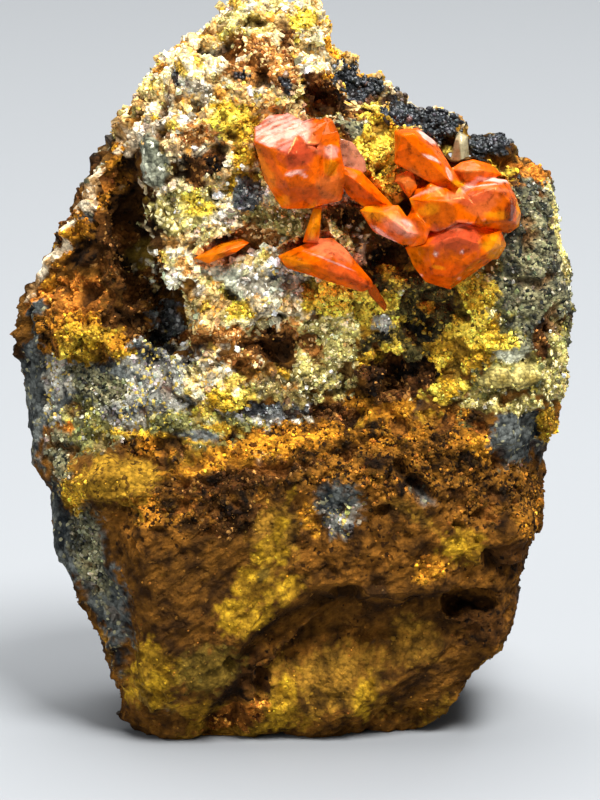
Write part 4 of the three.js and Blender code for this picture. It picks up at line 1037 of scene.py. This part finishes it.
def crystal_piece(work, name, material, replaces=(), plain="orange"):
    """Crystals with their facets cut up finely, their edges softened, steps of growth on their roofs, and
    their tints, with painted glints, pink reflections and roof glare.
    """
    bmesh.ops.dissolve_limit(work, angle_limit=math.radians(1.5), verts=work.verts, edges=work.edges)
    bmesh.ops.triangulate(work, faces=work.faces)
    work.verts.index_update()
    corners, facets = cut_up(*corners_and_faces(work), LONGEST_SIDE)
    mesh = bpy.data.meshes.new(name)
    mesh.from_pydata(corners.tolist(), [], facets.tolist())
    work.clear()
    work.from_mesh(mesh)
    every_way = {"use_axis_x": True, "use_axis_y": True, "use_axis_z": True}
    bmesh.ops.smooth_vert(work, verts=work.verts, factor=0.5, **every_way)
    work.normal_update()
    work.to_mesh(mesh)
    work.free()
    places, ways = arrays_of(mesh)
    right, up = seen_from_front(places)
    wander = swell(places, 0.7, 54) + 0.6 * swell(places, 0.25, 55)
    colour = np.tile(linear(GLASS[plain]), (len(places), 1))
    frost_and_painted_glint = np.zeros(len(places))
    # the spots: stains and inclusions in the glass, and painted glints and pink reflections
    if plain == "orange":
        for kind, *oval, strength in GLASS_PATCHES:
            cover = strength * ease(1.3 - reach_from(right, up, *oval) + 0.5 * wander, 0, 0.6)
            cover *= ease(-ways[:, 1], -0.4, 0)
            colour = colour * (1 - cover[:, None]) + linear(GLASS[kind]) * cover[:, None]
            frost_and_painted_glint = np.maximum(frost_and_painted_glint * (1 - cover), cover * (kind == "frost_and_painted_glint"))

    # the big block's roof: steps of growth, darker garnet lines between them, and on its left part pale
    # stripes of painted glare standing in for the overhead light's reflection
    from_middle = np.linalg.norm(places - ROOF_MIDDLE, axis=1)
    roof = ease(ways[:, 2], 0.55, 0.75) * ease(ROOF_REACH - from_middle, 0, 0.5)
    along = places @ np.array(STEPS_CLIMB) + 0.12 * swell(places, 0.9, 51)
    uneven = np.array([noise.noise(Vector((a / 0.3, 0.2, 0.7))) for a in along])
    step = (along / STEP_SPACING + 0.8 * uneven) % 1
    stripes = ease(step + 0.6 * swell(places, 0.45, 56), 0.1, 0.35) * (1 - 0.5 * ease(step, 0.6, 0.95))
    veins = (0.75 * roof * (1 - stripes))[:, None]
    colour = colour * (1 - veins) + linear(GLASS["garnet"]) * veins
    painted_roof_glare = np.clip(roof * (0.1 + 0.65 * stripes) * ease(0.7 - right, 0, 0.6), 0, 1)
    colour = colour * (1 - painted_roof_glare[:, None]) + linear(GLASS["frost_and_painted_glint"]) * painted_roof_glare[:, None]
    hillocks = 0.018 * swell(places, 0.7, 52) + 0.01 * swell(places, 0.25, 53)
    hillocks += STEP_HEIGHT * roof * (step - 0.5)
    mesh.vertices.foreach_set("co", (places + hillocks[:, None] * ways).astype(np.float32).ravel())
    mesh.update()
    mesh.shade_smooth()
    carry(mesh, "tint", colour)
    carry(mesh, "frost_and_painted_glint", np.maximum(frost_and_painted_glint, painted_roof_glare))
    finished(mesh, name, material, replaces)


# How the ends of two crystals are moved, to meet what they grow on: the height in mm that parts the
# upper end from the lower, and the move of each. The blade gets longer, and the tooth a broad foot.
ENDS_MOVED = {
    "wulfenite_thin_blade": (26.3, (0.05, -0.35, 0.45), (-0.1, -0.35, -0.55)),
    "cerussite_tooth": (29.5, (0, -0.3, 0.15), (0, -0.4, -0.5)),
}
for node in crystal_nodes:
    grown = joined_up(node)
    if node == "wulfenite_main_cluster":
        mesh = mesh_of(grown, "cluster")
        for corners in SMALL_CRYSTALS:
            mesh = grown_on(mesh, corners)
        grown.clear()
        grown.from_mesh(mesh)
        bpy.data.meshes.remove(mesh)
    if node in ENDS_MOVED:
        parting, upper, lower = ENDS_MOVED[node]
        for corner in grown.verts:
            corner.co += Vector(upper if corner.co.z > parting else lower)
    if node == "cerussite_tooth":
        crystal_piece(grown, node + "_looks", cerussite, [node], plain="bone")
    else:
        crystal_piece(grown, node + "_looks", wulfenite, [node])

# Two small crystals of wulfenite, grown on the rock beside the big ones: a thin pale flake against
# the right shoulder of the big block, and a dark thin blade below the tip of the wedge.

FLAKE = ((1.9, -6.9, 30.3), (2.5, -6.8, 30.1), (3.1, -6.9, 29.3), (3.2, -7.0, 28.7), (2.5, -7.1, 28.5),
         (1.8, -7.2, 28.9), (1.9, -6.3, 30.2), (2.6, -6.2, 29.9), (3.1, -6.3, 29.0), (1.9, -6.3, 28.6))
DARK_BLADE = ((3.2, -7.5, 23.3), (3.6, -7.4, 23.3), (4.2, -7.2, 22.2), (4.1, -7.3, 21.9), (3.3, -7.5, 22.8),
              (3.5, -6.6, 23.1), (4, -6.6, 22.1))
pale = glassy("pale_flake", 1.5, 0.6, (255, 200, 160), 150)
dark = glassy("dark_blade", 1.5, 0.6, (220, 110, 40), 150, ORANGE_GLEAM)
crystal_piece(hull_of(FLAKE), "pale_flake", pale, plain="blush")
crystal_piece(hull_of(DARK_BLADE), "dark_blade", dark, plain="umber")

# The room: a plain pale floor, soft light from above and in front, and the camera, which looks down
# on the specimen from a little above level. None of it is part of the object.

FLOOR_COLOUR = (0.25, 0.26, 0.27, 1)
AIM = Vector((0, -6, 17.32)) * MM  # what the camera looks at
LIT = Vector((0, 0, 20 * MM))  # what the lamps face
CAMERA_REACH = 250 * MM
CAMERA_LENS = 232

floor_work = bmesh.new()
bmesh.ops.create_grid(floor_work, x_segments=1, y_segments=1, size=3)
floor = bpy.data.objects.new("floor", mesh_of(floor_work, "floor"))
floor_work.free()
scene.collection.objects.link(floor)
floor_paint, floor_shader = new_material("floor_paint")
feed(floor_shader, {"Base Color": FLOOR_COLOUR, "Roughness": 0.7})
floor.data.materials.append(floor_paint)


def stand(name, data, place, facing):
    """A lamp or a camera at that place, turned to look along that direction."""
    thing = bpy.data.objects.new(name, data)
    thing.location = place
    thing.rotation_mode = "QUATERNION"
    thing.rotation_quaternion = facing.to_track_quat("-Z", "Y")
    scene.collection.objects.link(thing)
    return thing


to_camera = Vector((0, -math.cos(LOOKED_FROM), math.sin(LOOKED_FROM)))
scene.camera = stand("camera", bpy.data.cameras.new("camera"), AIM + to_camera * CAMERA_REACH, -to_camera)
scene.camera.data.lens = CAMERA_LENS
scene.camera.data.clip_start = 0.01

# The lamps: where each stands and how wide it is, in mm, and its power in watts.
LAMPS = {
    "key": ((150, -300, 560), 220, 8.5),
    "overhead": ((0, 130, 600), 560, 6.5),
    "fill": ((-350, -420, 160), 300, 1.0),
}
for name, (place, size, power) in LAMPS.items():
    light = bpy.data.lights.new(name, "AREA")
    light.size = size * MM
    light.energy = power
    stand(name, light, Vector(place) * MM, LIT - Vector(place) * MM)

world = bpy.data.worlds.new("world")
world.use_nodes = True
feed(world.node_tree.nodes["Background"], {"Color": (0.75, 0.82, 0.9, 1), "Strength": 0.2})
scene.world = world
scene.view_settings.view_transform = "Standard"
